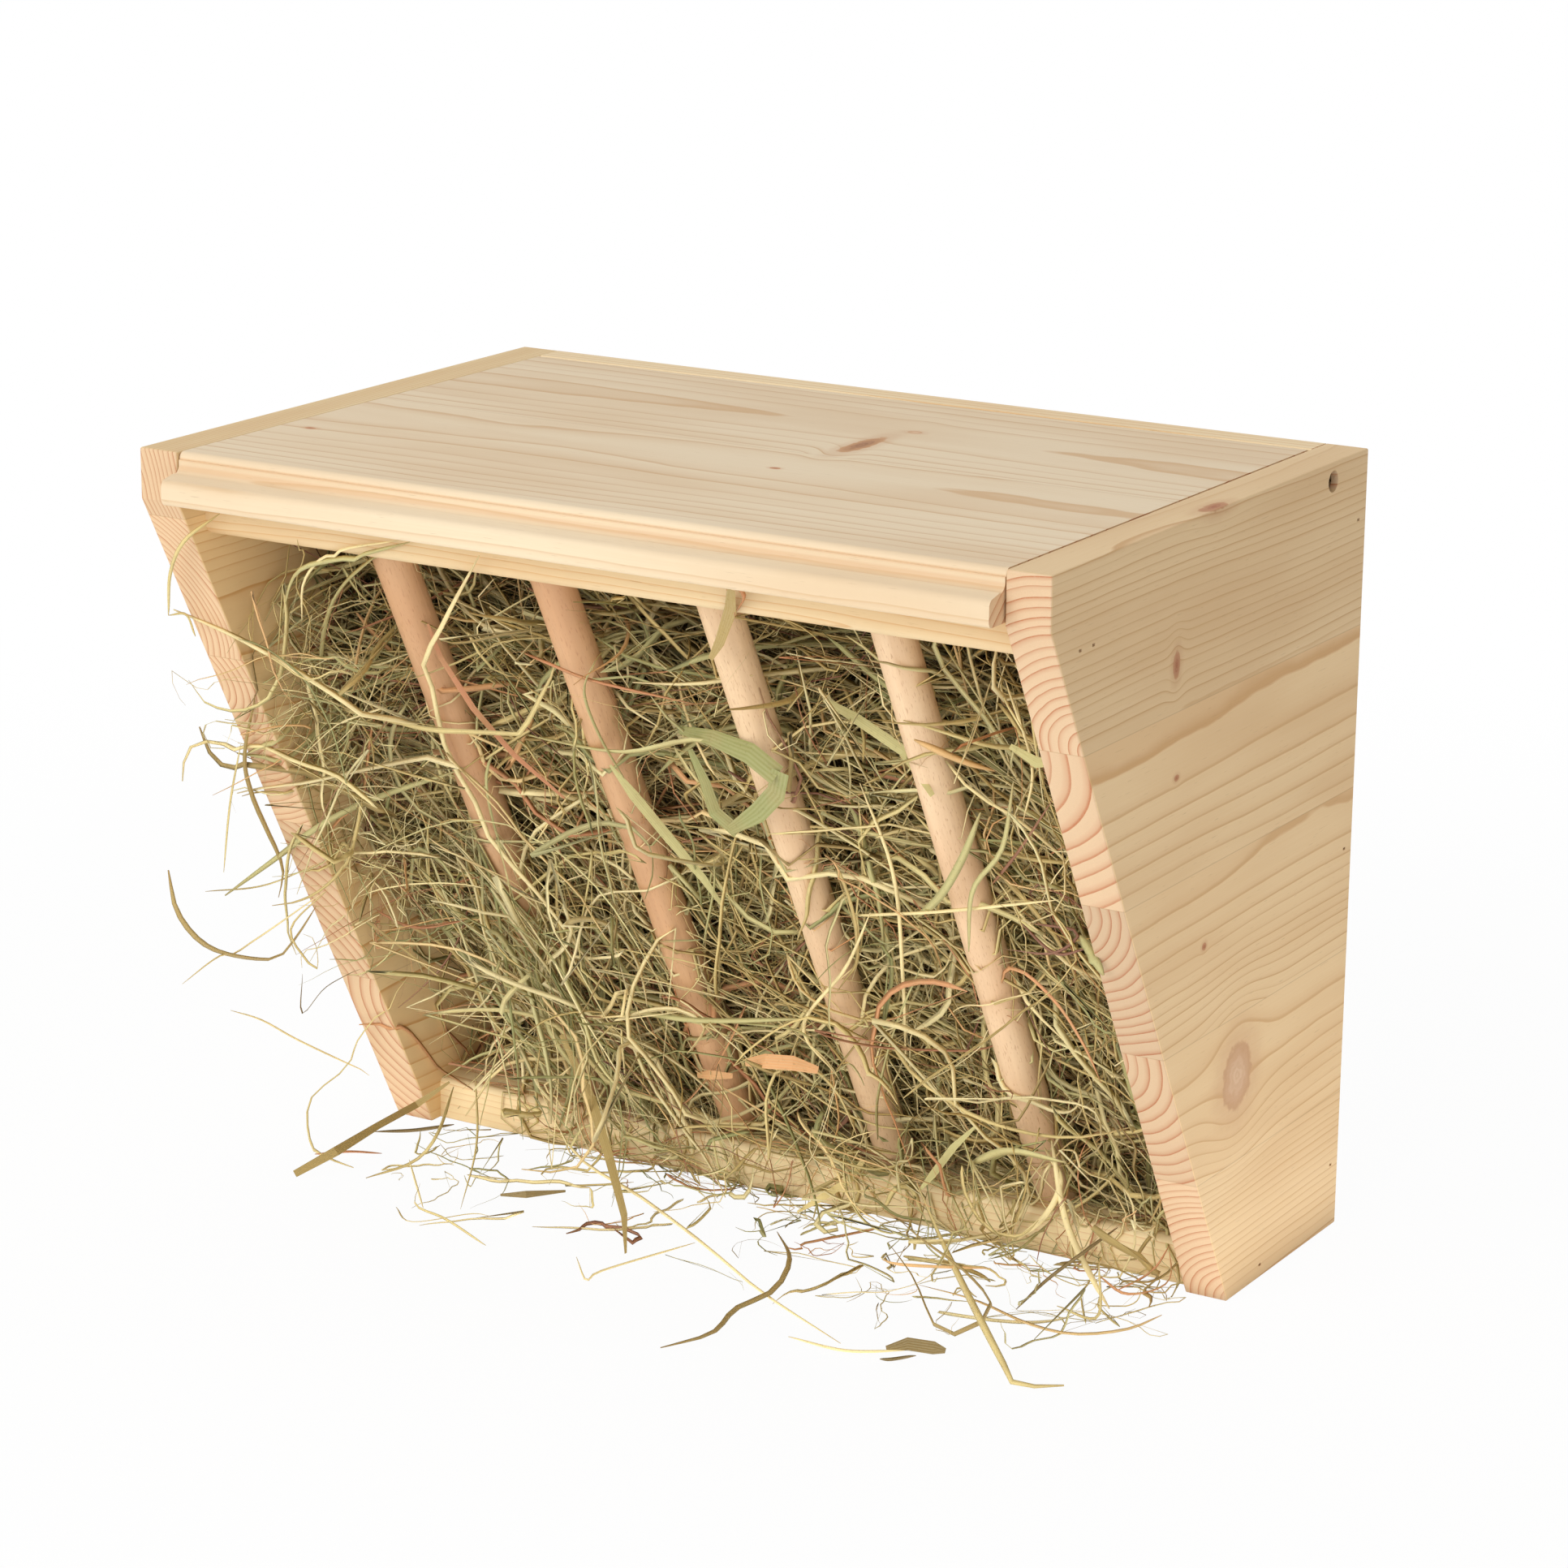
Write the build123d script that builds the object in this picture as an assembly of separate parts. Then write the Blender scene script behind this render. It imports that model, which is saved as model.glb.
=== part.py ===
from build123d import *
from math import hypot, sqrt
import os

# Hay feeder box: two sloping side panels, a back, a floor board, a rail and four slanted
# dowels between them, and a lid that turns on two screws.
# X runs across the width, Y from the front to the rear, Z up, all in millimetres.
# The origin is under the centre of the overall box, on the surface that the feeder stands on.

# Overall sizes
overall_width = 396.0
height = 320.0
top_depth = 260.0        # side panels, along their top edge
bottom_depth = 100.0     # side panels, along their bottom edge
front_step = 20.0        # upright part of the side panels' front edge, under the top
side_thickness = 18.0
edge_round = 0.8

# Back panel, floor board and upper rail
back_thickness = 14.0
floor_thickness = 18.0
floor_setback = 6.0      # floor's front face behind the panels' lower front corner
floor_front_round = 3.0
rail_width = 48.0
rail_thickness = 16.0
rail_setback = 16.5      # rail's front face behind the panels' upper front edge
rail_front_round = 5.0

# Dowels, parallel to the panels' sloping front edge
dowel_diameter = 16.0
dowel_count = 4
dowel_spacing = 74.0
dowel_setback = 33.0     # axis behind the sloping edge, measured level
dowel_end_chamfer = 1.0
socket_depth_rail = 11.0
socket_depth_floor = 12.0
socket_clearance = 0.1
socket_end_gap = 0.3

# Lid with a moulded front edge
lid_thickness = 19.0
lid_side_gap = 0.5
lid_back_gap = 0.6
lid_rest_gap = 0.3
nose_reach = 10.5        # nose in front of the side panels
nose_height = 9.6        # front face of the nose, before its edges are rounded
nose_top_round = 3.0
nose_bottom_round = 2.2
moulding_setback = 0.6   # upright fillet above the cove, behind the panels' front edge
moulding_round = 2.6
step_drop = 2.9          # narrow step under the rounded top edge
step_width = 0.7
cove_radius = 3.4
cove_drop = 8.2          # lowest point of the cove, under the lid's top
quirk_height = 0.5       # small upright edge where the cove meets the nose

# Pivot screws
pivot_inset = 32.0       # pivot axis in front of the rear face
pivot_drop = 7.5         # pivot axis under the lid's top
screw_diameter = 4.5
screw_length = 40.0
screw_tip = 5.0
screw_head_diameter = 7.8
screw_head_height = 2.8
screw_head_dome = 0.8
screw_slot_width = 1.3
screw_slot_length = 4.8
screw_slot_depth = 1.8
screw_fit = 0.05
counterbore_diameter = 8.6
counterbore_depth = 5.0
head_seat_gap = 0.3

# Brads, rectangular wire with a narrow T head, driven just under the surface
brad_length = 35.0
brad_wire_width = 1.25
brad_wire_thickness = 1.05
brad_head_length = 2.0
brad_head_height = 0.9
brad_sink = 1.0
brad_clearance = 0.03
rail_brad_inset = 5.5    # first brad behind the rail's front face
rail_brad_spacing = 10.0
rail_brad_height = 4.5
floor_brad_inset = 23.0
floor_brad_height = 5.5
back_brad_end = 27.0     # first and last brad from the panel's bottom and top
back_brad_count = 3
base_brad_spacing = 120.0
base_brad_count = 3

# Worked out from the sizes above
inner_width = overall_width - 2 * side_thickness
overall_depth = top_depth + nose_reach
rear_y = overall_depth / 2
front_y = rear_y - top_depth
back_face_y = rear_y - back_thickness
slope_top = height - front_step
slope_run = top_depth - bottom_depth
slope_ratio = slope_run / slope_top
slope_cos = slope_top / hypot(slope_top, slope_run)

lid_bottom = height - lid_thickness
rail_top = lid_bottom - lid_rest_gap
rail_bottom = rail_top - rail_thickness
rail_front_y = front_y + rail_setback
floor_front_y = rear_y - bottom_depth + floor_setback

pivot_y = rear_y - pivot_inset
pivot_z = height - pivot_drop
lid_rear_radius = back_face_y - lid_back_gap - pivot_y
lid_width = inner_width - 2 * lid_side_gap


def board(width, y_low, y_high, z_low, z_high):
    """A board as wide as asked, centred across the feeder."""
    return Pos(0, (y_low + y_high) / 2, (z_low + z_high) / 2) * Box(
        width, y_high - y_low, z_high - z_low
    )


def long_edges(solid):
    return solid.edges().filter_by(Axis.X)


def brad(clearance=0.0, open_above=0.0):
    """A brad with its head's top at the origin, pointing along -Z."""
    shank = Box(
        brad_wire_width + 2 * clearance,
        brad_wire_thickness + 2 * clearance,
        brad_length + clearance,
        align=(Align.CENTER, Align.CENTER, Align.MAX),
    )
    head = Pos(0, 0, open_above) * Box(
        brad_head_length + 2 * clearance,
        brad_wire_thickness + 2 * clearance,
        brad_head_height + open_above,
        align=(Align.CENTER, Align.CENTER, Align.MAX),
    )
    return shank + head


def side_place(side, y, z):
    """A place on a side panel's outer face, with +Z pointing out of the feeder."""
    outer_face = Plane(
        origin=(side * overall_width / 2, y, z), x_dir=(0, 1, 0), z_dir=(side, 0, 0)
    )
    return outer_face.location


def rear_place(x, z):
    """A place on the rear face, with +Z pointing out of the feeder."""
    return Plane(origin=(x, rear_y, z), x_dir=(1, 0, 0), z_dir=(0, 1, 0)).location


def rail_brad_places(side):
    first_y = rail_front_y + rail_brad_inset
    z = rail_bottom + rail_brad_height
    return [side_place(side, y, z) for y in (first_y, first_y + rail_brad_spacing)]


def floor_brad_places(side):
    return [side_place(side, floor_front_y + floor_brad_inset, floor_brad_height)]


def back_brad_places(side):
    middle_y = rear_y - back_thickness / 2
    step = (height - 2 * back_brad_end) / (back_brad_count - 1)
    return [
        side_place(side, middle_y, back_brad_end + index * step)
        for index in range(back_brad_count)
    ]


def base_brad_places():
    first = -(base_brad_count - 1) / 2
    return [
        rear_place((first + index) * base_brad_spacing, floor_thickness / 2)
        for index in range(base_brad_count)
    ]


def side_brad_places(side):
    return rail_brad_places(side) + floor_brad_places(side) + back_brad_places(side)


def drive_brads(places):
    """The brads themselves, each with its head sunk under the surface."""
    return Compound(children=[place * Pos(0, 0, -brad_sink) * brad() for place in places])


def cut_brad_holes(solid, places):
    for place in places:
        solid = solid - place * Pos(0, 0, -brad_sink) * brad(brad_clearance, brad_sink + 1)
    return solid


def pivot_screw(side):
    """A pan-head screw along the pivot axis, its head in the side panel's counterbore."""
    head_seat = overall_width / 2 - counterbore_depth + head_seat_gap
    tip = head_seat - screw_length
    radius = screw_diameter / 2
    head_radius = screw_head_diameter / 2
    head_top = head_seat + screw_head_height
    with BuildPart() as screw:
        with BuildSketch(Plane.XZ):
            with BuildLine():
                Polyline(
                    (tip, 0),
                    (tip + screw_tip, radius),
                    (head_seat, radius),
                    (head_seat, head_radius),
                    (head_top - screw_head_dome, head_radius),
                )
                crown = ThreePointArc(
                    (head_top - screw_head_dome, head_radius),
                    (head_top - screw_head_dome / 4, head_radius / 2),
                    (head_top, 0),
                )
                Line(crown @ 1, (tip, 0))
            make_face()
        revolve(axis=Axis.X)
        slot = Box(
            screw_slot_depth * 2, screw_slot_length, screw_slot_width, mode=Mode.PRIVATE
        )
        cross = slot + Rot(90, 0, 0) * slot
        add(Pos(head_top, 0, 0) * cross, mode=Mode.SUBTRACT)
    turned = screw.part if side > 0 else Rot(0, 0, 180) * screw.part
    return Pos(0, pivot_y, pivot_z) * turned


def side_panel(side):
    outline = Polyline(
        (front_y, height),
        (front_y, slope_top),
        (rear_y - bottom_depth, 0),
        (rear_y, 0),
        (rear_y, height),
        close=True,
    )
    outer_x = overall_width / 2
    panel = extrude(Plane.YZ * make_face(outline), amount=side_thickness)
    panel = fillet(panel.edges(), edge_round)
    shift = outer_x - side_thickness if side > 0 else -outer_x
    panel = Pos(shift, 0, 0) * panel
    pivot = side_place(side, pivot_y, pivot_z)
    panel = panel - pivot * Cylinder(screw_diameter / 2 + screw_fit, side_thickness * 3)
    panel = panel - pivot * Cylinder(counterbore_diameter / 2, counterbore_depth * 2)
    return cut_brad_holes(panel, side_brad_places(side))


def back_panel():
    panel = board(inner_width, back_face_y, rear_y, 0, height)
    panel = fillet(long_edges(panel), edge_round)
    places = back_brad_places(-1) + back_brad_places(1) + base_brad_places()
    return cut_brad_holes(panel, places)


def dowel_places():
    first = -(dowel_count - 1) / 2
    return [(first + index) * dowel_spacing for index in range(dowel_count)]


def dowel_axis_y(z):
    return front_y + (slope_top - z) * slope_ratio + dowel_setback


def dowel_plane(x, z, along):
    """A plane on a dowel's axis: at height z on the axis, then moved along it."""
    start = Vector(x, dowel_axis_y(z), z)
    direction = Vector(0, -slope_ratio, 1).normalized()
    return Plane(origin=start + direction * along, x_dir=(1, 0, 0), z_dir=direction)


def dowel_length():
    free = (rail_bottom - floor_thickness) / slope_cos
    return free + socket_depth_rail + socket_depth_floor - 2 * socket_end_gap


def dowel(x):
    foot = dowel_plane(x, floor_thickness, socket_end_gap - socket_depth_floor)
    rod = Cylinder(
        dowel_diameter / 2, dowel_length(), align=(Align.CENTER, Align.CENTER, Align.MIN)
    )
    rod = chamfer(rod.edges().filter_by(GeomType.CIRCLE), dowel_end_chamfer)
    return foot * rod


def cut_sockets(solid, z, depth_up, depth_down):
    """Dowel sockets drilled along each dowel's axis through the face at height z."""
    depth = depth_up + depth_down
    drill = Cylinder(
        dowel_diameter / 2 + socket_clearance,
        depth,
        align=(Align.CENTER, Align.CENTER, Align.MIN),
    )
    for x in dowel_places():
        solid = solid - dowel_plane(x, z, -depth_down) * drill
    return solid


def floor_board():
    floor = board(inner_width, floor_front_y, back_face_y, 0, floor_thickness)
    front_edges = long_edges(floor).group_by(Axis.Y)[0].sort_by(Axis.Z)
    floor = fillet(front_edges[-1], floor_front_round)
    front_bottom = long_edges(floor).sort_by(Axis.Z)[:2].sort_by(Axis.Y)[0]
    floor = fillet(front_bottom, edge_round)
    floor = cut_sockets(floor, floor_thickness, dowel_diameter, socket_depth_floor)
    places = floor_brad_places(-1) + floor_brad_places(1) + base_brad_places()
    return cut_brad_holes(floor, places)


def upper_rail():
    rail = board(
        inner_width, rail_front_y, rail_front_y + rail_width, rail_bottom, rail_top
    )
    lower_front = long_edges(rail).group_by(Axis.Y)[0].sort_by(Axis.Z)[0]
    rail = fillet(lower_front, rail_front_round)
    rear_edges = long_edges(rail).group_by(Axis.Y)[-1]
    rail = fillet(rear_edges, edge_round)
    rail = cut_sockets(rail, rail_bottom, socket_depth_rail, dowel_diameter)
    return cut_brad_holes(rail, rail_brad_places(-1) + rail_brad_places(1))


def lid_board():
    """The lid: a moulded nose in front and an edge rounded about the pivot behind."""
    nose_front = front_y - nose_reach
    nose_top = lid_bottom + nose_height
    upright_y = front_y + moulding_setback
    step_y = upright_y + step_width
    step_z = height - step_drop
    cove_front_y = upright_y - cove_radius
    cove_low = height - cove_drop
    quirk_top = cove_low + quirk_height
    rear_top_y = pivot_y + sqrt(lid_rear_radius**2 - pivot_drop**2)
    rear_bottom_y = pivot_y + sqrt(lid_rear_radius**2 - (pivot_z - lid_bottom) ** 2)
    with BuildSketch() as section:
        with BuildLine():
            Line((rear_top_y, height), (step_y, height))
            Line((step_y, height), (step_y, step_z))
            Line((step_y, step_z), (upright_y, step_z))
            Line((upright_y, step_z), (upright_y, cove_low + cove_radius))
            CenterArc((cove_front_y, cove_low + cove_radius), cove_radius, 0, -90)
            Line((cove_front_y, cove_low), (cove_front_y, quirk_top))
            Line((cove_front_y, quirk_top), (nose_front, nose_top))
            Line((nose_front, nose_top), (nose_front, lid_bottom))
            Line((nose_front, lid_bottom), (rear_bottom_y, lid_bottom))
            ThreePointArc(
                (rear_bottom_y, lid_bottom),
                (pivot_y + lid_rear_radius, pivot_z),
                (rear_top_y, height),
            )
        make_face()
        nose_corners = section.vertices().group_by(Axis.X)[0].sort_by(Axis.Y)
        fillet(nose_corners[0], nose_bottom_round)
        nose_corners = section.vertices().group_by(Axis.X)[0].sort_by(Axis.Y)
        fillet(nose_corners[-1], nose_top_round)
        top_corner = section.vertices().group_by(Axis.Y)[-1].sort_by(Axis.X)[0]
        fillet(top_corner, moulding_round)
    lid_end = Plane.YZ.offset(-lid_width / 2)
    solid = extrude(lid_end * section.sketch, amount=lid_width)
    screw_hole = Pos(0, pivot_y, pivot_z) * Rot(0, 90, 0) * Cylinder(
        screw_diameter / 2 + screw_fit, 2 * (screw_length - side_thickness + counterbore_depth)
    )
    for side in (-1, 1):
        solid = solid - Pos(side * lid_width / 2, 0, 0) * screw_hole
    return solid


def build_parts():
    parts = {
        "side_panel_left": side_panel(-1),
        "side_panel_right": side_panel(1),
        "back_panel": back_panel(),
        "floor_board": floor_board(),
        "upper_rail": upper_rail(),
        "lid_board": lid_board(),
    }
    for index, x in enumerate(dowel_places()):
        parts[f"dowel_{index + 1}"] = dowel(x)
    for name, side in (("left", -1), ("right", 1)):
        parts[f"pivot_screw_{name}"] = pivot_screw(side)
        parts[f"rail_brads_{name}"] = drive_brads(rail_brad_places(side))
        parts[f"floor_brad_{name}"] = drive_brads(floor_brad_places(side))
        parts[f"back_brads_{name}"] = drive_brads(back_brad_places(side))
    parts["base_brads"] = drive_brads(base_brad_places())
    return parts


os.makedirs("parts", exist_ok=True)
for node, shape in build_parts().items():
    export_step(shape, f"parts/{node}.step")
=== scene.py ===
# %% [markdown]
# # A wooden hay feeder with a lid, filled with hay
#
# The feeder is a small hay rack for rabbits and other small pets. Two sloping side panels of
# glued spruce stand on either side of a floor board, a back and a rail. Four beech dowels
# slant between the rail and the floor board, and the animal pulls the hay out between them.
# A lid with a moulded front edge turns on two screws, so that the rack can be filled.
#
# The construction comes ready made from the CAD frame. This lesson gives each board its wood,
# packs the rack with hay, and puts the whole thing on a pale table in soft light.

# %% Open the frame
import math

import bmesh
import bpy
import numpy as np
from mathutils import Matrix, Vector


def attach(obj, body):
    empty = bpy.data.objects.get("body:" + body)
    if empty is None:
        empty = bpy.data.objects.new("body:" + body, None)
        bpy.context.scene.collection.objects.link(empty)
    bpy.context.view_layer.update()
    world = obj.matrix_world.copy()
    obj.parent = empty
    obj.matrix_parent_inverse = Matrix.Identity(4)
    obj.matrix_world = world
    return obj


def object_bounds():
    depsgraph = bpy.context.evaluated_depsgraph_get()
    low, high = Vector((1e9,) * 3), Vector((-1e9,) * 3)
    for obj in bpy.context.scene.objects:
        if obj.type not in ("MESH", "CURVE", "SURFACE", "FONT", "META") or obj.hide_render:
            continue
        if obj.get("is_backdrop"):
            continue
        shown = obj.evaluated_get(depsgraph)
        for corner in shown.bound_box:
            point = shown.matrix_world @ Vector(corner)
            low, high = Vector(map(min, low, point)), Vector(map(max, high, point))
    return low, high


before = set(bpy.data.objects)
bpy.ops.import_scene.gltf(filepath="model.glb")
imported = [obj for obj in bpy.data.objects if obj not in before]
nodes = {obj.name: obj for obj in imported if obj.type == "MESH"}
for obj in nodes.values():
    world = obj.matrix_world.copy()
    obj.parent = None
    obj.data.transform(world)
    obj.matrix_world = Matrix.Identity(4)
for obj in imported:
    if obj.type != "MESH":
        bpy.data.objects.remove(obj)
cad_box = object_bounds()
print("boards and fittings:", len(nodes))

# %% [markdown]
# ## Measures of the feeder
#
# Hay can't be where wood is, so the lesson needs to know where the wood's faces lie. These
# measures are in millimetres, as are all patterns and paths below. X goes to the right, Y to
# the back and Z up, from under the middle of the feeder. The panels' front edge slopes back
# from its top to the floor, and the dowels run behind it in the same direction.

# %% Name the faces of the wood
slope_top = 300.0
slope_front = 124.75
slope = 160.0 / 300.0
back_and_up = np.array([0.0, 0.882, 0.47])
panel_inside = 180.0
dowel_pitch = 74.0
dowel_x = np.array([-1.5, -0.5, 0.5, 1.5]) * dowel_pitch
dowel_front = slope_front - 33.0
dowel_radius = 8.0
dowel_down = np.array([0.0, slope, -1.0]) / math.hypot(slope, 1.0)
rail_front, rail_back, rail_bottom = -108.25, -60.25, 284.7
floor_front, floor_top = 41.25, 18.0
back_front = 121.25
print("the slope leans back by", round(math.degrees(math.atan(slope)), 1), "degrees")

# %% [markdown]
# ## The camera
#
# A long lens from one and three quarter metres away keeps the edges of the box nearly parallel.
# A camera can be aimed with a Track To constraint on an empty, or by writing its matrix. The
# matrix is used here, because it also holds the half degree by which the camera leans to one
# side.

# %% Set up the camera
camera_place = Vector((0.8934, -1.44755, 0.6673))
look = Vector((-0.4986, 0.8231, -0.2719)).normalized()
upright = Vector((-0.149, 0.230, 0.962))
sideways = look.cross(upright).normalized()
upright = sideways.cross(look)

lens = bpy.data.cameras.new("long_lens")
lens.sensor_width = 36
lens.lens = 103.46
camera = bpy.data.objects.new("camera", lens)
bpy.context.scene.collection.objects.link(camera)
turn = Matrix((sideways, upright, -look)).transposed()
camera.matrix_world = Matrix.Translation(camera_place) @ turn.to_4x4()
bpy.context.scene.camera = camera
print("camera to the middle of the box:", round((camera_place - Vector((0, 0, 0.16))).length, 3), "m")

# %% [markdown]
# ## Short ways to wire a node tree
#
# Materials and Geometry Nodes trees are both made of nodes and links. Doing this by hand takes
# three lines for each node, so a small helper class adds a node, sets it and wires it in one
# call. A value goes straight into a socket, and another node's output is linked to it.

# %% A bench for building node trees
class Bench:
    """A node tree, and short ways to add and wire its nodes."""

    def __init__(self, tree):
        self.tree = tree

    def add(self, kind, inputs=None, **settings):
        node = self.tree.nodes.new(kind)
        for name, value in settings.items():
            setattr(node, name, value)
        self.feed(node, inputs or {})
        return node

    def feed(self, node, inputs):
        """Sets a node's inputs, or links them where the value is another node's output."""
        for key, value in inputs.items():
            if isinstance(value, bpy.types.NodeSocket):
                self.tree.links.new(value, node.inputs[key])
            else:
                node.inputs[key].default_value = value

    def math(self, operation, *values):
        return self.add("ShaderNodeMath", dict(enumerate(values)), operation=operation).outputs[0]

    def vector(self, operation, *values):
        slots = (0, 3) if operation == "SCALE" else range(len(values))
        node = self.add("ShaderNodeVectorMath", dict(zip(slots, values)), operation=operation)
        return node.outputs["Value" if operation == "LENGTH" else "Vector"]

    def split(self, place):
        return self.add("ShaderNodeSeparateXYZ", {0: place}).outputs

    def join(self, x, y, z):
        return self.add("ShaderNodeCombineXYZ", {0: x, 1: y, 2: z}).outputs[0]

    def between(self, value, low, high, to_low=0.0, to_high=1.0, ease="SMOOTHSTEP"):
        """Maps low and high to two other values, and keeps whatever is outside at those."""
        inputs = {"Value": value, "From Min": low, "From Max": high, "To Min": to_low, "To Max": to_high}
        return self.add("ShaderNodeMapRange", inputs, interpolation_type=ease).outputs["Result"]

    def mix(self, factor, a, b, blend="MIX"):
        node = self.add("ShaderNodeMix", {0: factor, 6: a, 7: b}, data_type="RGBA", blend_type=blend)
        return node.outputs[2]

    def ramp(self, factor, stops):
        """A row of greys or colours, each with its position from 0 to 1."""
        node = self.add("ShaderNodeValToRGB", {0: factor})
        band = node.color_ramp
        while len(band.elements) < len(stops):
            band.elements.new(0.5)
        for element, (position, shade) in zip(band.elements, stops):
            element.position = position
            element.color = shade if isinstance(shade, tuple) else (shade, shade, shade, 1)
        return node.outputs["Color"]

    def noise(self, place, scale, detail, distortion=0.0):
        inputs = {"Vector": place, "Scale": scale, "Detail": detail, "Distortion": distortion}
        return self.add("ShaderNodeTexNoise", inputs)

    def stretched(self, place, stretch, detail):
        """Noise from 0 to 1, drawn out along the axes whose stretch is small."""
        return self.noise(self.vector("MULTIPLY", place, stretch), 1.0, detail).outputs["Fac"]

    def in_millimetres(self):
        """The place on the object in millimetres, and the direction that its surface faces."""
        here = self.add("ShaderNodeTexCoord")
        return self.vector("SCALE", here.outputs["Object"], 1000.0), here.outputs["Normal"]

    def grooves(self, height, strength, distance):
        """The direction of a surface with fine relief, which only shades and has no real depth."""
        inputs = {"Height": height, "Strength": strength, "Distance": distance}
        return self.add("ShaderNodeBump", inputs).outputs["Normal"]


def colour(red, green, blue):
    """A colour in the 0 to 255 steps of a colour picker, as the linear light that nodes work in."""
    steps = [step / 255 for step in (red, green, blue)]
    light = [step / 12.92 if step <= 0.04045 else ((step + 0.055) / 1.055) ** 2.4 for step in steps]
    return (*light, 1.0)


def darker(shade, factor):
    """The same colour, made darker, as a node's colour."""
    return colour(*[step * factor for step in shade])


def new_finish(name):
    """An empty material with its shader, ready for a pattern."""
    finish = bpy.data.materials.new(name)
    finish.use_nodes = True
    bench = Bench(finish.node_tree)
    shader = finish.node_tree.nodes["Principled BSDF"]
    return finish, bench, shader


print("white in a colour picker is", colour(255, 255, 255)[0], "in linear light")

# %% [markdown]
# ## Spruce
#
# Spruce shows its growth rings as orange-brown lines on a cream ground. Each ring is pale where
# the tree grew in spring, darkens towards autumn, and ends at a sharp edge. The boards are
# glued up from strips, so the rings jump to another curve at each joint.
#
# A flat picture of wood would not agree from one face of a board to the next. Here the rings
# are worked out in space instead. Every strip has its own pith, a line along the grain, and the
# distance from the pith divided by the width of a ring tells which ring a point is in. The
# long faces then show lines and flame shapes, the end grain shows arcs, and they meet at the
# edges as in a real board. A slow noise makes the rings wander. A knot pushes them aside.

# %% Rings of a board that is glued up from strips
ring_drift = 10.0      # how far a board's rings wander, in millimetres
ring_tremble = 0.13    # and how much of that comes again as a quick tremble


def wander(bench, place):
    """A slow drift of the rings across the grain, with a little tremble on top of it."""
    slow = bench.noise(bench.vector("MULTIPLY", place, (0.0035, 0.012, 0.012)), 1.0, 1.0)
    slow = bench.vector("SUBTRACT", slow.outputs["Color"], (0.5, 0.5, 0.5))
    slow = bench.vector("SCALE", slow, ring_drift)
    quick = bench.noise(bench.vector("MULTIPLY", place, (0.022, 0.07, 0.07)), 1.0, 2.0)
    quick = bench.vector("SUBTRACT", quick.outputs["Color"], (0.5, 0.5, 0.5))
    quick = bench.vector("SCALE", quick, ring_drift * ring_tremble)
    return bench.vector("MULTIPLY", bench.vector("ADD", slow, quick), (0.0, 1.0, 1.0))


def strip_values(bench, level, strips):
    """The rings (pith, width) and tones (face, end grain) of the strip that a point is in. Tones hold
    painted shade too.
    """
    _, pith, width, tones_and_shade = strips[0]
    rings, shades = (*pith, width), (*tones_and_shade, 0.0)
    ring_value, shade_value = rings, shades
    for (edge, *_), (_, pith, width, tones_and_shade) in zip(strips, strips[1:]):
        above = bench.math("GREATER_THAN", level, edge)
        above = bench.join(above, above, above)
        next_rings, next_shades = (*pith, width), (*tones_and_shade, 0.0)
        ring_change = tuple(new - old for old, new in zip(rings, next_rings))
        shade_change = tuple(new - old for old, new in zip(shades, next_shades))
        ring_value = bench.vector("MULTIPLY_ADD", above, ring_change, ring_value)
        shade_value = bench.vector("MULTIPLY_ADD", above, shade_change, shade_value)
        rings, shades = next_rings, next_shades
    return ring_value, shade_value


def joint_lines(bench, level, strips):
    """A hair line at each glued joint."""
    line = 0.0
    for edge, *_ in strips[:-1]:
        away = bench.math("ABSOLUTE", bench.math("SUBTRACT", level, edge))
        line = bench.math("MAXIMUM", line, bench.between(away, 0.1, 0.3, 1.0, 0.0))
    return line


print("helpers for the rings are ready")

# %% [markdown]
# A knot is the foot of a branch. It is darker and redder than the wood round it, has fine rings
# of its own, and the grain flows past it on both sides. Each knot is a stretched ball or, where
# the branch runs right through the board, a long rod. Inside it the colour changes, and round it
# the rings are pushed away from its middle.

# %% Knots
rod_length = 100.0


def knot_push(bench, place, knots):
    """How far each knot draws the ring pattern towards its middle, so that the lines flow round it."""
    push = (0.0, 0.0, 0.0)
    for centre, size, strength, _ in knots:
        away = bench.vector("SUBTRACT", place, centre)
        wide = tuple(1.9 * half for half in size)
        reach = bench.vector("LENGTH", bench.vector("DIVIDE", away, wide))
        fade = bench.math("EXPONENT", bench.math("MULTIPLY", bench.math("POWER", reach, 2.0), -1.0))
        fade = bench.math("MULTIPLY", fade, strength)
        # Rings move only across the grain, and not along the rod of a branch that runs through
        free = tuple(0.0 if axis == 0 or half > rod_length else 1.0 for axis, half in enumerate(size))
        pull = bench.vector("MULTIPLY", away, bench.join(fade, fade, fade))
        pull = bench.vector("MULTIPLY", pull, free)
        push = bench.vector("ADD", push, pull)
    return push


def knot_colour(bench, place, knots, base):
    """The board's colour with its knots in it."""
    wobble = bench.stretched(place, (0.25, 0.25, 0.25), 2.0)
    for centre, size, _, (heart, rim) in knots:
        away = bench.vector("SUBTRACT", place, centre)
        reach = bench.vector("LENGTH", bench.vector("DIVIDE", away, size))
        reach = bench.math("ADD", reach, bench.math("MULTIPLY_ADD", wobble, 0.5, -0.25))
        rings = bench.math("SINE", bench.math("MULTIPLY", reach, 24.0))
        rings = bench.between(rings, -1.0, 1.0, 0.0, 0.35)
        inside = bench.mix(bench.between(reach, 0.15, 0.95), heart, rim)
        inside = bench.mix(rings, inside, rim)
        halo = bench.mix(0.3, base, rim)
        base = bench.mix(bench.between(reach, 1.0, 2.1, 1.0, 0.0), base, halo)
        base = bench.mix(bench.between(reach, 0.85, 1.05, 1.0, 0.0), base, inside)
    return base


print("helpers for knots are ready")

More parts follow.
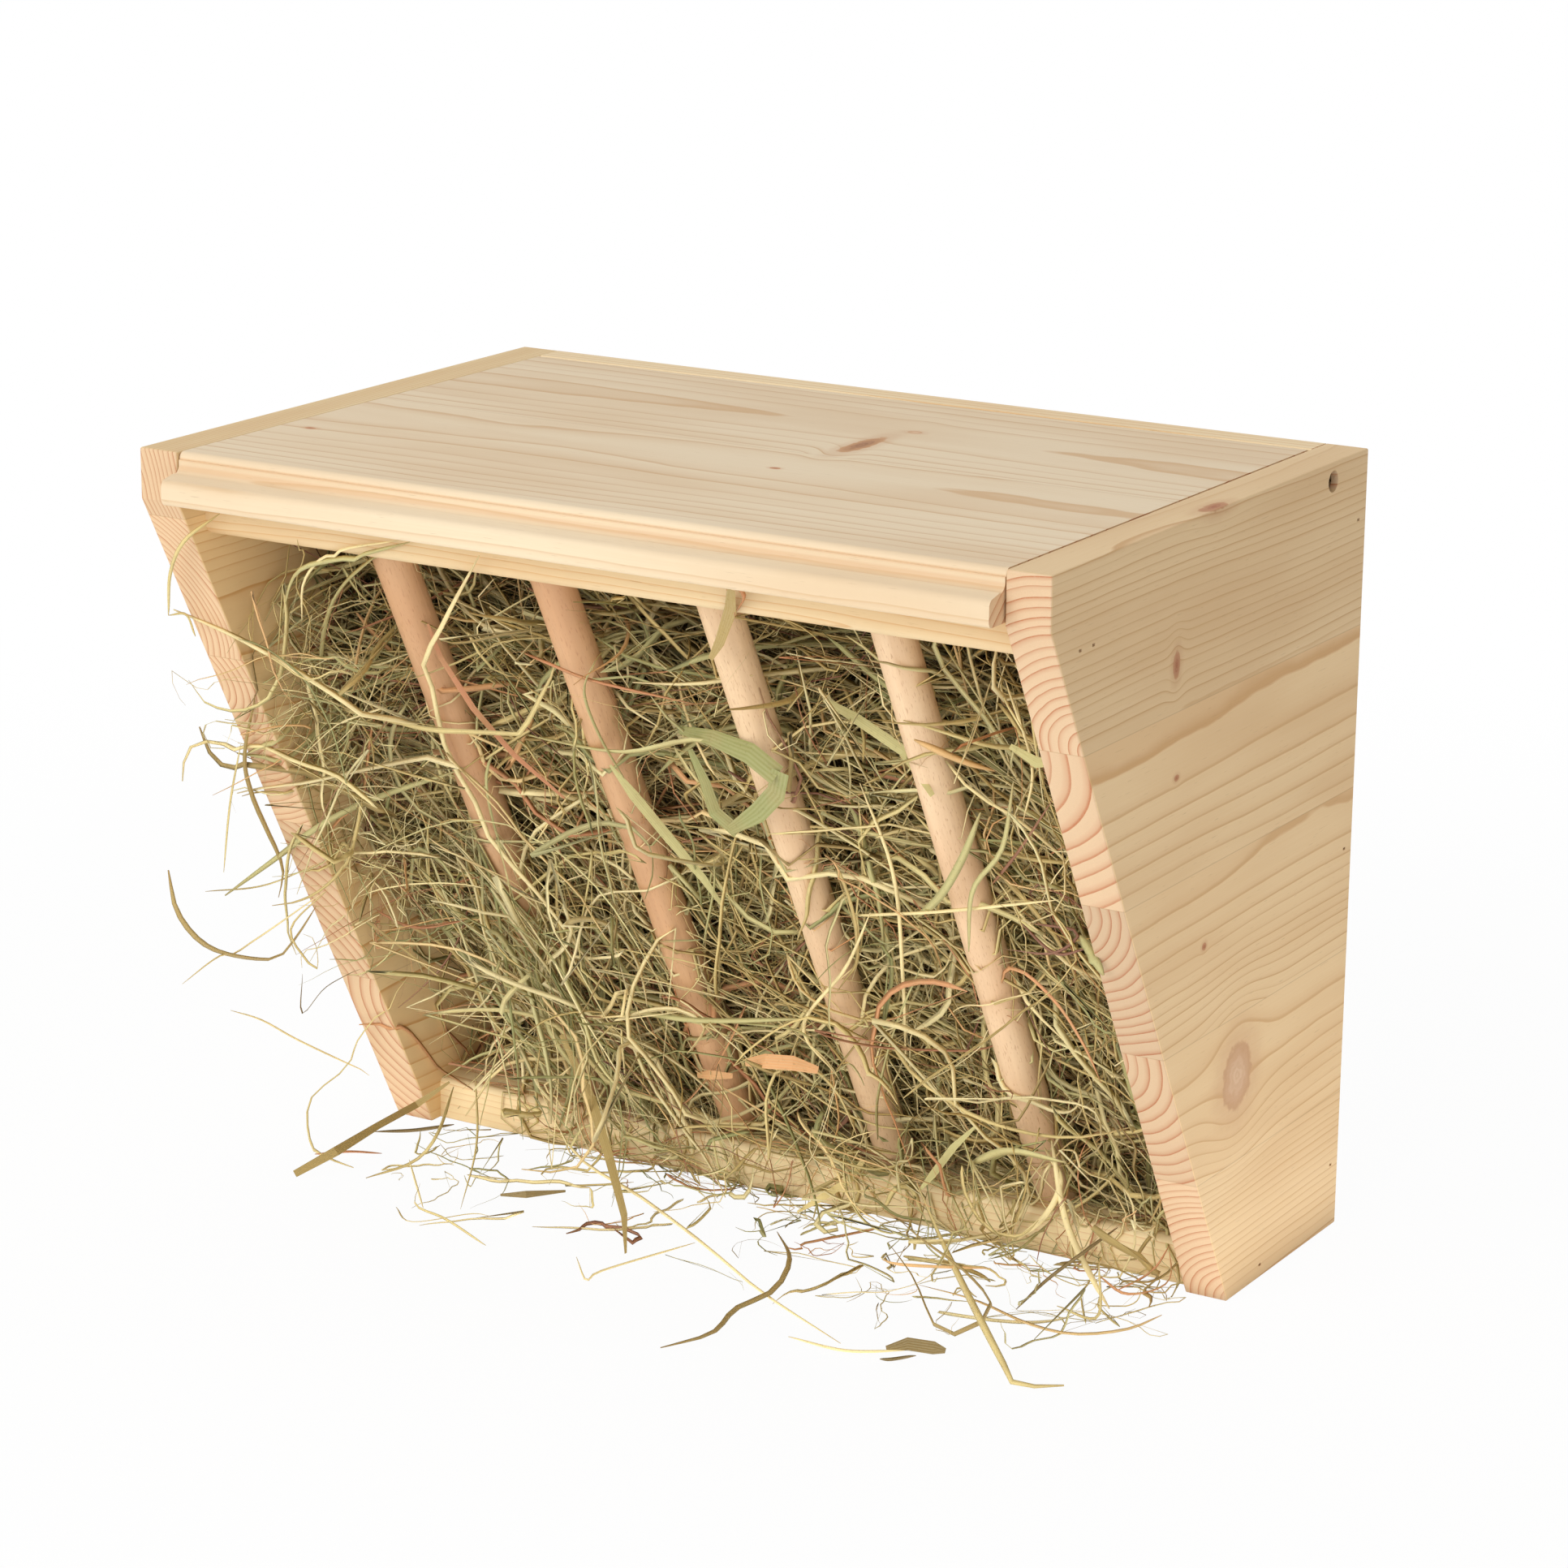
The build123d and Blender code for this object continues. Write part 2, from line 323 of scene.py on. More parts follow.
# %% [markdown]
# The finish of a board puts these together. The grain runs along X in the lid, the back, the
# floor and the rail, and along Y in the side panels, so the pattern first turns the object
# coordinates, in millimetres, into "along, across, up". Where a face looks along the grain it is
# end grain: the rings turn darker and redder there, as cut fibres soak up more light.

# %% Build a spruce finish
end_line = (190, 116, 74)
moulding_back = -121.5


def spruce(name, grain, strips, split_by="up", knots=(), ground=(243, 220, 178), line=(214, 160, 98),
           end_ground=(229, 197, 157), seed=0.0, painted_shade_bands=()):
    """A board's finish. Colours are for the face and the end grain, and each has ground and line."""
    finish, bench, shader = new_finish(name)
    mm, normal = bench.in_millimetres()
    x, y, z = bench.split(mm)
    along, across = (x, y) if grain == "X" else (y, x)
    place = bench.join(along, across, z)
    level = z if split_by == "up" else across
    values, tones_and_shade = strip_values(bench, level, strips)
    pith_across, pith_up, width = bench.split(values)

    # Rings
    apart = bench.vector("ADD", place, (seed, 0.0, 0.0))
    shifted = bench.vector("ADD", place, wander(bench, bench.vector("ADD", apart, values)))
    if knots:
        shifted = bench.vector("SUBTRACT", shifted, knot_push(bench, place, knots))
    from_pith = bench.vector("SUBTRACT", shifted, bench.join(0.0, pith_across, pith_up))
    from_pith = bench.vector("MULTIPLY", from_pith, (0.0, 1.0, 1.0))
    rings = bench.math("DIVIDE", bench.vector("LENGTH", from_pith), width)
    fast = bench.noise(bench.join(rings, pith_across, seed), 0.35, 1.0).outputs["Fac"]
    rings = bench.math("ADD", rings, fast)
    year = bench.math("FLOOR", rings)
    season = bench.math("FRACT", rings)
    luck = bench.add("ShaderNodeTexWhiteNoise", {"W": year}, noise_dimensions="1D").outputs["Value"]
    on_face = bench.ramp(season, [(0.0, 0.0), (0.6, 0.06), (0.84, 0.35), (0.93, 1.0), (0.97, 1.0),
                                  (1.0, 0.0)])
    on_face = bench.math("MULTIPLY", on_face, bench.between(luck, 0.0, 1.0, 0.4, 1.0, "LINEAR"))
    on_end = bench.ramp(season, [(0.0, 0.0), (0.5, 0.05), (0.82, 0.45), (0.93, 1.0), (0.98, 0.95),
                                 (1.0, 0.0)])
    on_end = bench.math("MULTIPLY", on_end, bench.between(luck, 0.0, 1.0, 0.65, 1.0, "LINEAR"))

    # Fibres, resin ducts and the slow change of tone over a board
    fibre = bench.stretched(place, (0.02, 1.6, 1.6), 3.0)
    duct = bench.between(bench.stretched(apart, (0.11, 2.6, 2.6), 1.0), 0.7, 0.78)
    cloud = bench.stretched(apart, (0.006, 0.03, 0.03), 2.0)
    pores = bench.stretched(place, (2.0, 2.0, 2.0), 2.0)

    # Faces and end grain
    warm = bench.mix(0.35, colour(*ground), colour(*line))
    face = bench.mix(bench.between(cloud, 0.35, 0.75), colour(*ground), warm)
    face = bench.mix(on_face, face, colour(*line))
    face = bench.mix(bench.math("MULTIPLY", duct, 0.35), face, darker(line, 0.8))
    face = bench.mix(bench.between(fibre, 0.3, 0.7, 0.0, 0.16), face, warm)
    end = bench.mix(on_end, colour(*end_ground), colour(*end_line))
    end = bench.mix(bench.between(pores, 0.35, 0.75, 0.0, 0.25), end, darker(end_ground, 0.93))
    facing = bench.split(normal)[0 if grain == "X" else 1]
    cut = bench.between(bench.math("ABSOLUTE", facing), 0.5, 0.75)
    wood = bench.mix(cut, face, end)
    if knots:
        wood = knot_colour(bench, place, knots, wood)
    seam = bench.math("MULTIPLY", joint_lines(bench, level, strips), 0.3)
    wood = bench.mix(seam, wood, darker(line, 0.8))
    # The strip's tone, with the painted shade that darkens the side panels towards the top
    face_tone_and_shade, end_tone_and_shade, _ = bench.split(tones_and_shade)
    tone_and_shade = bench.between(cut, 0.0, 1.0, face_tone_and_shade, end_tone_and_shade, "LINEAR")
    wood = bench.mix(1.0, wood, bench.join(tone_and_shade, tone_and_shade, tone_and_shade), "MULTIPLY")

    # Painted shade: bands along the moulding, under its step and in its cove, darkened towards brown
    for corner, reach in painted_shade_bands:
        off = bench.math("ABSOLUTE", bench.math("SUBTRACT", z, corner))
        brown = bench.math("MULTIPLY", bench.between(off, 0.25 * reach, reach, 0.34, 0.0),
                           bench.between(y, moulding_back - 1.5, moulding_back, 1.0, 0.0))
        wood = bench.mix(brown, wood, colour(214, 164, 112))

    # Surface
    height = bench.math("MULTIPLY_ADD", on_face, 0.5, bench.math("MULTIPLY", fibre, 0.8))
    height = bench.math("ADD", height, bench.math("MULTIPLY", bench.math("MULTIPLY", pores, cut), 1.6))
    bench.feed(shader, {"Base Color": wood, "Roughness": bench.between(fibre, 0.2, 0.8, 0.52, 0.68),
                        "Normal": bench.grooves(height, 0.35, 0.00012), "Specular IOR Level": 0.3})
    return finish


def wear(node, finish):
    """Puts a finish on a board or fitting of the frame."""
    mesh = nodes[node].data
    mesh.materials.clear()
    mesh.materials.append(finish)
    for face in mesh.polygons:
        face.material_index = 0
    print(node, "wears", finish.name)


print("the spruce recipe is ready")

# %% [markdown]
# ### The right side panel
#
# Five strips, about 65 mm wide, run from the rear to the front. Their rings curve about piths
# that lie just outside or inside the panel, which gives the arcs on its sloping front edge and
# nearly straight lines on its face. It has one large pale knot low down and four small ones.

# %% Right side panel
# A strip's row: its far edge, its pith, the width of a ring, the tones of its face and its end, painted
# shade included.
# A knot's row: its middle, its half sizes, how far it draws the rings, the colours of heart and rim.
# A pith is given across the grain and up, and a knot along the grain, across it and up.
pale_knot = (colour(226, 190, 154), colour(208, 162, 120))
red_knot = (colour(176, 108, 70), colour(204, 150, 106))
# The face tones fall towards the top: painted shade that darkens the panel upwards, on top of each strip's
# own tone.
right_strips = [
    (57.0, (208.0, -4.0), 3.0, (1.02, 0.97)),
    (117.0, (168.0, 117.0), 4.6, (1.02, 0.86)),
    (184.0, (166.0, 184.0), 4.0, (1.0, 0.81)),
    (250.0, (153.0, 252.0), 7.0, (0.97, 0.98)),
    (320.0, (204.0, 250.0), 3.5, (0.88, 1.0)),
]
right_knots = [
    ((-27.0, 190.0, 268.0), (3.2, 300.0, 5.5), 0.7, red_knot),
    ((-24.0, 190.0, 225.0), (2.2, 300.0, 1.4), 0.7, red_knot),
    ((4.0, 190.0, 153.0), (2.0, 300.0, 1.6), 0.7, red_knot),
    ((37.0, 190.0, 92.0), (13.0, 300.0, 14.0), 0.75, pale_knot),
    ((5.0, 195.0, 321.0), (11.0, 3.5, 4.0), 0.6, red_knot),
]
right_spruce = spruce("spruce_right", "Y", right_strips, "up", right_knots, ground=(244, 212, 164),
                      line=(212, 165, 110), end_ground=(224, 193, 156), seed=40.0)
wear("side_panel_right", right_spruce)

# %% [markdown]
# ### The left side panel
#
# Its outer face is turned away, but its sloping front edge and inner face show. The inner face
# has bold orange lines, and the front edge has close arcs at the top and wide pale ones lower.

# %% Left side panel
# The face tones fall towards the top: painted shade that darkens the panel upwards, on top of each strip's
# own tone.
left_strips = [
    (75.0, (-150.0, 60.0), 5.0, (1.05, 0.98)),
    (152.0, (-250.0, 60.0), 5.0, (1.03, 0.95)),
    (230.0, (-210.0, 221.0), 3.0, (1.0, 1.05)),
    (293.0, (-225.0, 247.0), 2.4, (0.98, 1.04)),
    (320.0, (-300.0, 290.0), 2.1, (0.88, 0.95)),
]
left_knots = [
    ((-62.0, -186.0, 182.0), (6.0, 3.0, 3.0), 0.7, red_knot),
    ((30.0, -190.0, 140.0), (8.0, 300.0, 7.0), 0.7, pale_knot),
]
# Its ground is lighter and more orange than the usual spruce ground: painted light that the hay throws back
# onto it.
left_spruce = spruce("spruce_left", "Y", left_strips, "up", left_knots, ground=(248, 222, 172), seed=310.0)
wear("side_panel_left", left_spruce)

# %% [markdown]
# ### Lid, back, floor and rail
#
# The grain of these runs across the feeder. The lid is glued up from two wide strips and has
# long flame shapes on its top, an oblong knot that was cut lengthwise, and its moulded front
# edge shows the same rings as fine straight bands.

# %% Lid
lid_strips = [
    (6.0, (-20.0, 190.0), 4.2, (1.0, 1.0)),
    (200.0, (62.0, 262.0), 5.5, (0.99, 0.99)),
]
lid_knots = [
    ((31.0, 32.0, 318.0), (4.5, 18.0, 60.0), 0.6, (colour(150, 100, 62), colour(200, 150, 104))),
    ((26.0, -24.0, 320.0), (2.4, 1.6, 6.0), 0.6, red_knot),
    ((-166.0, -59.0, 320.0), (2.6, 1.8, 5.0), 0.6, red_knot),
    ((36.0, 65.0, 320.0), (3.5, 2.5, 6.0), 0.6, pale_knot),
]
# The painted shade bands darken the moulding under its step and in its cove.
lid_spruce = spruce("spruce_lid", "X", lid_strips, "across", lid_knots, ground=(236, 216, 184),
                    line=(208, 168, 120), seed=120.0, painted_shade_bands=((317.1, 0.8), (314.0, 1.7)))
wear("lid_board", lid_spruce)

# %% Back, floor board and rail
plain = (1.0, 1.0)
back_strips = [
    (95.0, (190.0, 60.0), 4.0, plain),
    (210.0, (60.0, 150.0), 5.0, (0.99, 0.99)),
    (320.0, (170.0, 330.0), 4.4, plain),
]
back_knots = [
    ((-60.0, 130.0, 120.0), (8.0, 300.0, 6.0), 0.7, pale_knot),
    ((95.0, 130.0, 246.0), (4.0, 300.0, 3.0), 0.7, red_knot),
]
back_spruce = spruce("spruce_back", "X", back_strips, "up", back_knots, seed=520.0)
wear("back_panel", back_spruce)
floor_strips = [(400.0, (20.0, -60.0), 3.2, plain)]
# Its ground and lines are lighter than the other boards': painted light on the floor board where the light
# falls.
floor_spruce = spruce("spruce_floor", "X", floor_strips, "up", ground=(252, 232, 186),
                      line=(226, 178, 120), seed=700.0)
wear("floor_board", floor_spruce)
rail_strips = [(400.0, (-150.0, 250.0), 2.6, plain)]
rail_spruce = spruce("spruce_rail", "X", rail_strips, "up", ground=(234, 210, 167), seed=860.0)
wear("upper_rail", rail_spruce)

# %% [markdown]
# ## Beech dowels
#
# Beech is pinker than spruce and has hardly any rings. What marks it is thousands of short
# brown flecks along the grain. A stretched noise that is cut off high gives them, in
# coordinates turned so that "along" follows the slanting dowel.

# %% Build a beech finish
dowel_lean = math.atan2(slope, 1.0)


def beech(name, ground, blush, seed):
    finish, bench, shader = new_finish(name)
    here = bench.add("ShaderNodeTexCoord")
    turned = bench.add("ShaderNodeMapping", {"Vector": here.outputs["Object"],
                                             "Rotation": (-dowel_lean, 0.0, 0.0),
                                             "Scale": (1000.0, 1000.0, 1000.0)}, vector_type="POINT")
    place = bench.vector("ADD", turned.outputs[0], (seed, 0.0, seed))
    fleck = bench.between(bench.stretched(place, (2.3, 2.3, 0.3), 1.0), 0.62, 0.72)
    fibre = bench.stretched(place, (1.1, 1.1, 0.03), 3.0)
    band = bench.stretched(place, (0.28, 0.05, 0.006), 1.0)
    cloud = bench.stretched(place, (0.03, 0.03, 0.012), 2.0)
    wood = bench.mix(bench.between(cloud, 0.35, 0.7), colour(*ground), colour(*blush))
    wood = bench.mix(bench.between(band, 0.4, 0.65, 0.0, 0.3), wood, darker(blush, 0.93))
    wood = bench.mix(bench.between(fibre, 0.3, 0.75, 0.0, 0.3), wood, darker(blush, 0.95))
    wood = bench.mix(bench.math("MULTIPLY", fleck, 0.45), wood, colour(176, 120, 84))
    height = bench.math("MULTIPLY_ADD", fleck, -0.6, fibre)
    bench.feed(shader, {"Base Color": wood, "Roughness": bench.between(fibre, 0.2, 0.8, 0.45, 0.6),
                        "Normal": bench.grooves(height, 0.3, 0.0001), "Specular IOR Level": 0.35})
    return finish


dowel_tones = [
    ((222, 179, 137), (211, 164, 122)),
    ((221, 177, 133), (211, 163, 121)),
    ((237, 206, 166), (228, 192, 152)),
    ((238, 208, 170), (232, 194, 154)),
]
for number, (ground, blush) in enumerate(dowel_tones, 1):
    wear(f"dowel_{number}", beech(f"beech_{number}", ground, blush, 137.0 * number))

# %% [markdown]
# ## Screws and brads
#
# The pivot screws are dark bronze, rubbed bright where the driver slips. The brads that hold
# the rail, the floor and the back are driven just under the surface, so that only a dull grey
# dash shows.

# %% Screws and brads
def metal(name, ground, rubbed, roughness):
    finish, bench, shader = new_finish(name)
    mm, _ = bench.in_millimetres()
    blotch = bench.noise(mm, 0.9, 3.0).outputs["Fac"]
    grit = bench.noise(mm, 6.0, 2.0).outputs["Fac"]
    tint = bench.mix(bench.between(blotch, 0.45, 0.7), colour(*ground), colour(*rubbed))
    rough = bench.between(blotch, 0.3, 0.7, roughness, roughness - 0.15)
    bench.feed(shader, {"Base Color": tint, "Roughness": rough, "Metallic": 1.0,
                        "Normal": bench.grooves(grit, 0.4, 0.00008)})
    return finish


bronze = metal("screw_bronze", (104, 90, 62), (160, 138, 92), 0.5)
steel = metal("brad_steel", (150, 146, 138), (186, 182, 174), 0.55)
for node in nodes:
    if node.startswith("pivot_screw"):
        wear(node, bronze)
    if "brad" in node:
        wear(node, steel)

# %% [markdown]
# ## The hay
#
# Hay is dried grass: flat blades, thin stems, a few broad leaves and brown bits, all bent and
# kinked, and pressed against the dowels by its own bulk. Particle hair is one way to make it,
# but hair can't be kept out of wood. Here each strand is a path of sixteen points, laid at
# random, or of eighteen, laid one by one. Then the paths are settled: every strand keeps its
# length, and wood pushes it out. A Geometry Nodes tree draws a tapering, slightly twisted
# blade along each path.
#
# First come the rules of where hay can't be. The level distance behind the sloping front edge
# is a handy measure, because the dowels run 33 mm behind it from top to bottom. At the rear the
# hay stays lower than the lid, whose rear edge swings down there when it opens.

# %% Keep clear of the wood
rng = np.random.default_rng(20)
dowel_low, dowel_high = 16.0, 286.0
under_lid = 300.0
swing_front, swing_low = 70.0, 284.0
side_reach, front_reach = 216.0, 149.0


def behind(points):
    """Level distance behind the side panels' sloping edge."""
    return points[..., 1] + slope_front - (slope_top - points[..., 2]) * slope


def fade_in(value, start, reach):
    """0 up to the start, then rising evenly, and 1 beyond the reach."""
    return np.clip((value - start) / reach, 0, 1)


def clear_of_wood(points, room=1.0, between_panels=True):
    """Moves points out of the boards and dowels by the shortest way."""
    x, y, z = points[..., 0], points[..., 1], points[..., 2]
    if between_panels:
        x[:] = np.clip(x, room - panel_inside, panel_inside - room)
    # dowels
    nearest = np.round((x - dowel_x[0]) / dowel_pitch)
    near = dowel_x[np.clip(nearest, 0, len(dowel_x) - 1).astype(int)]
    from_top = np.stack([x - near, y + dowel_front, z - slope_top], -1)
    along = (from_top @ dowel_down)[..., None] * dowel_down
    out = from_top - along
    reach = np.linalg.norm(out, axis=-1, keepdims=True) + 1e-6
    wanted = np.maximum(reach, dowel_radius + room)
    inside = ((z > dowel_low) & (z < dowel_high))[..., None]
    points[:] = np.where(inside, points + out / reach * (wanted - reach), points)
    # side panels: to the inner face or forward past the sloping edge, never round the outside
    into_face = np.abs(x) - (panel_inside - room)
    into_edge = behind(points) * back_and_up[1] + room
    hit = (into_face > 0) & (into_edge > 0)
    to_face = hit & (into_face <= into_edge)
    to_edge = hit & ~to_face
    x[to_face] = np.sign(x[to_face]) * (panel_inside - room)
    y[to_edge] -= into_edge[to_edge] * back_and_up[1]
    z[to_edge] -= into_edge[to_edge] * back_and_up[2]
    # rail: forward if that is short, and otherwise down
    between_sides = np.abs(x) < panel_inside
    hit = (y > rail_front - room) & (y < rail_back + room) & (z > rail_bottom - room) & between_sides
    forward = hit & (y - rail_front + room < np.minimum(z - rail_bottom + room, 6.0))
    y[forward] = rail_front - room
    z[hit & ~forward] = rail_bottom - room
    # floor board: forward or up, whichever is shorter
    hit = (y > floor_front - room) & (z < floor_top + room) & between_sides
    forward = hit & (y - floor_front + room < floor_top + room - z)
    y[forward] = floor_front - room
    z[hit & ~forward] = floor_top + room
    # back, lid and table
    within = np.abs(x) < panel_inside + 1.0
    y[within] = np.minimum(y[within], back_front - room)
    roof = np.where(y > swing_front, swing_low, under_lid - room)
    z[:] = np.maximum(np.minimum(z, roof), room)
    # how far hay may stand out at the sides and in front
    x[:] = np.clip(x, -side_reach, side_reach)
    y[:] = np.maximum(y, -front_reach)
    return points


test = clear_of_wood(np.array([[-37.0, -50.0, 200.0], [185.0, 60.0, 100.0], [0.0, 80.0, 5.0]]), 1.0, False)
print("three points in wood end up at", test.round(1).tolist())

# %% [markdown]
# A strand starts straight, and then its direction turns a little from point to point. A steady
# turn gives an arc, a random one gives a wavy blade, and now and then a sharp turn gives the
# kinks that dry grass has at its joints.

# %% Lay strands at random
path_points = 16
wave = 0.04
sway = 0.2


def unit(directions):
    """The same directions, each with a length of one."""
    return directions / np.linalg.norm(directions, axis=1, keepdims=True)


def random_directions(count):
    return unit(rng.normal(size=(count, 3)))


def strands(middles, headings, lengths, bow, kinks=0.03):
    """Paths through the middles, heading along the headings, with bows, waves, kinks and a sway."""
    count = len(middles)
    step = (lengths / (path_points - 1))[:, None]
    half = path_points // 2
    paths = np.zeros((count, path_points, 3))
    bend = random_directions(count) * rng.gamma(2.0, bow / 2.0, size=(count, 1)) / path_points
    swing = random_directions(count) * rng.exponential(sway, size=(count, 1))
    beat = rng.uniform(0.5, 1.1, size=(count, 1))
    start = rng.uniform(0, 2 * math.pi, size=(count, 1))
    for side in (1, -1):
        heading = headings * side
        here = np.zeros((count, 3))
        for stride in range(1, half + 1 if side == 1 else path_points - half):
            swung = swing * np.cos(start + beat * stride * side)
            heading = heading + bend + swung + rng.normal(scale=wave, size=(count, 3))
            sharp = rng.random((count, 1)) < kinks
            heading = unit(np.where(sharp, heading + random_directions(count) * 0.9, heading))
            here = here + heading * step
            slot = half + stride * side - (1 if side == 1 else 0)
            if 0 <= slot < path_points:
                paths[:, slot] = here
    return paths + middles[:, None, :]


def settle(paths, rounds=14, room=1.0, sag=0.0, between_panels=True, front=None):
    """Lets strands give way to wood while each stretch of them keeps its length.

    With a front, points that are less far behind the slope than that give way to the rear."""
    one = np.linalg.norm(np.diff(paths, axis=1), axis=2)
    two = np.linalg.norm(paths[:, 2:] - paths[:, :-2], axis=2)
    for _ in range(rounds):
        if sag:
            paths[..., 2] -= sag
        for gap, rest in ((2, two), (1, one)):
            for start in range(gap + 1):
                heads = paths[:, start:-gap:gap + 1]
                tails = paths[:, start + gap::gap + 1]
                pairs = min(heads.shape[1], tails.shape[1])
                heads, tails = heads[:, :pairs], tails[:, :pairs]
                apart = tails - heads
                length = np.linalg.norm(apart, axis=2, keepdims=True) + 1e-6
                want = rest[:, start::gap + 1][:, :pairs, None]
                shift = apart * (0.5 * (length - want) / length)
                heads += shift
                tails -= shift
        if front is not None:
            paths[..., 1] += 0.5 * np.maximum(front - behind(paths), 0.0)
        clear_of_wood(paths, room, between_panels)
    return paths


print("strands can be laid and settled")

# %% [markdown]
# ### Where the hay lies
#
# Most of it is a bulk behind the dowels that bulges forward between them and hangs back under
# the rail, where dark hollows stay open. Under the rail the strands run level, and lower down
# they hang. More hay lies on top for when the lid is up. Some strands hang over the dowels, a
# loose sheaf has slid down at the left, and short bits have dropped on the table.

# %% How the hay sits behind the dowels
def from_front(x, deep, z):
    """A point that is so far behind the sloping edge."""
    return np.stack([x, -slope_front + (slope_top - z) * slope + deep, z], -1)


def face_of_hay(x, z):
    """How far behind the slope the bulk begins."""
    between_dowels = np.cos(math.pi * (x + 2 * dowel_pitch) / dowel_pitch) ** 2
    belly = np.clip(np.sin(math.pi * (z - 5.0) / 245.0), 0, 1)
    under_rail = 39.0 * fade_in(z, 222.0, 45.0)
    left_side = 14.0 * fade_in(-x, 144.0, 30.0)
    lower_left = 6.0 * fade_in(-x, 128.0, 34.0) * fade_in(-z, -165.0, 60.0)
    return 50.0 - 15.0 * between_dowels * belly + under_rail + lower_left + left_side


def flow(x, z):
    """The turn from level at which most strands run there, and how much they differ."""
    low = fade_in(-z, -225.0, 90.0)
    right = fade_in(x, 95.0, 40.0)
    return 0.1 + 0.85 * np.maximum(low, right), 0.5 + 0.6 * low


def flat_headings(turns, tilt):
    """Headings that lie in the sloping front plane, give or take a tilt out of it."""
    level = np.array([1.0, 0.0, 0.0])
    heads = np.cos(turns)[:, None] * level + np.sin(turns)[:, None] * dowel_down
    heads += back_and_up * rng.normal(scale=tilt, size=(len(turns), 1))
    return unit(heads)


def bulk(count, near, far, shortest, longest, bow):
    x = rng.uniform(-178, 178, count)
    z = rng.uniform(16, 277, count)
    deep = face_of_hay(x, z) + rng.uniform(near, far, count)
    main, spread = flow(x, z)
    turns = main + spread * rng.normal(size=count)
    lengths = rng.uniform(shortest, longest, count)
    return strands(from_front(x, deep, z), flat_headings(turns, 0.22), lengths, bow=bow)


def crown(count):
    x = rng.uniform(-174, 174, count)
    y = rng.uniform(-45, 114, count)
    top = 262.0 + 9.0 * np.sin(x / 31.0) * np.cos(y / 27.0) - 14.0 * fade_in(y, 40, 70)
    z = top - rng.exponential(12.0, count)
    heads = unit(random_directions(count) * (1.0, 1.0, 0.35))
    return strands(np.stack([x, y, z], -1), heads, rng.uniform(60, 150, count), bow=1.4)


def over_dowels(count):
    x = rng.uniform(-150, 172, count)
    z = 18.0 + 200.0 * rng.beta(1.1, 2.4, count)
    deep = rng.uniform(12, 38, count)
    main, spread = flow(x, z)
    turns = main + spread * rng.normal(size=count)
    return strands(from_front(x, deep, z), flat_headings(turns, 0.2), rng.uniform(60, 170, count), bow=2.2)


paths = {
    "inner": settle(bulk(2200, 12.0, 38.0, 60.0, 160.0, 1.4), front=34.0),
    "outer": settle(bulk(1300, 0.0, 13.0, 90.0, 230.0, 2.6), front=30.0),
    "crown": settle(crown(1000)),
    "over": settle(over_dowels(140), rounds=30, sag=0.05),
}
print({name: len(p) for name, p in paths.items()})

# %% The sheaf at the lower left and the bits on the table
def sheaf(count):
    x = rng.normal(-94, 20, count)
    z = rng.normal(72, 24, count)
    deep = rng.uniform(6, 28, count)
    turns = math.radians(78) + 0.32 * rng.normal(size=count)
    return strands(from_front(x, deep, z), flat_headings(turns, 0.12), rng.uniform(80, 190, count), bow=1.4)


def side_spill(count):
    x = rng.normal(-160, 14, count)
    z = rng.uniform(96, 240, count)
    deep = rng.uniform(-4, 36, count)
    turns = math.radians(140) + 0.7 * rng.normal(size=count)
    return strands(from_front(x, deep, z), flat_headings(turns, 0.3), rng.uniform(45, 120, count), bow=1.8)


def apron(count):
    x = rng.uniform(-118, 176, count)
    z = rng.uniform(12, 44, count)
    deep = rng.uniform(-4, 30, count)
    turns = math.radians(75) + 0.8 * rng.normal(size=count)
    return strands(from_front(x, deep, z), flat_headings(turns, 0.5), rng.uniform(35, 100, count), bow=2.4)


def litter(count):
    x = rng.uniform(-165, 182, count)
    y = 36.0 - 100.0 * rng.beta(1.2, 2.2, count)
    z = 2.0 + rng.exponential(2.5, count)
    heads = unit(random_directions(count) * (1.0, 1.0, 0.12))
    return strands(np.stack([x, y, z], -1), heads, rng.uniform(14, 70, count), bow=2.2, kinks=0.12)


paths["sheaf"] = settle(sheaf(105), rounds=30, sag=0.05)
paths["spill"] = settle(side_spill(150), rounds=30, sag=0.1, between_panels=False)
paths["apron"] = settle(apron(160), rounds=40, sag=0.35)
paths["litter"] = settle(litter(100), rounds=20, sag=0.4, room=0.7, between_panels=False)
print({name: len(p) for name, p in paths.items()})

# %% [markdown]
# ### Single strands
#
# The eye goes to the few strands that stand apart: a long yellow stem that hangs from under the
# lid, a pink one, arcs that leave the rack at the left, long blades that curl on the table.
# These are laid one by one. Each row names a strand and gives its kind, its width and the points
# that it passes through, to a few millimetres. A smooth curve is drawn through them. In the first
# list a point is "across, behind the slope, height", and in the second "across, depth, height".

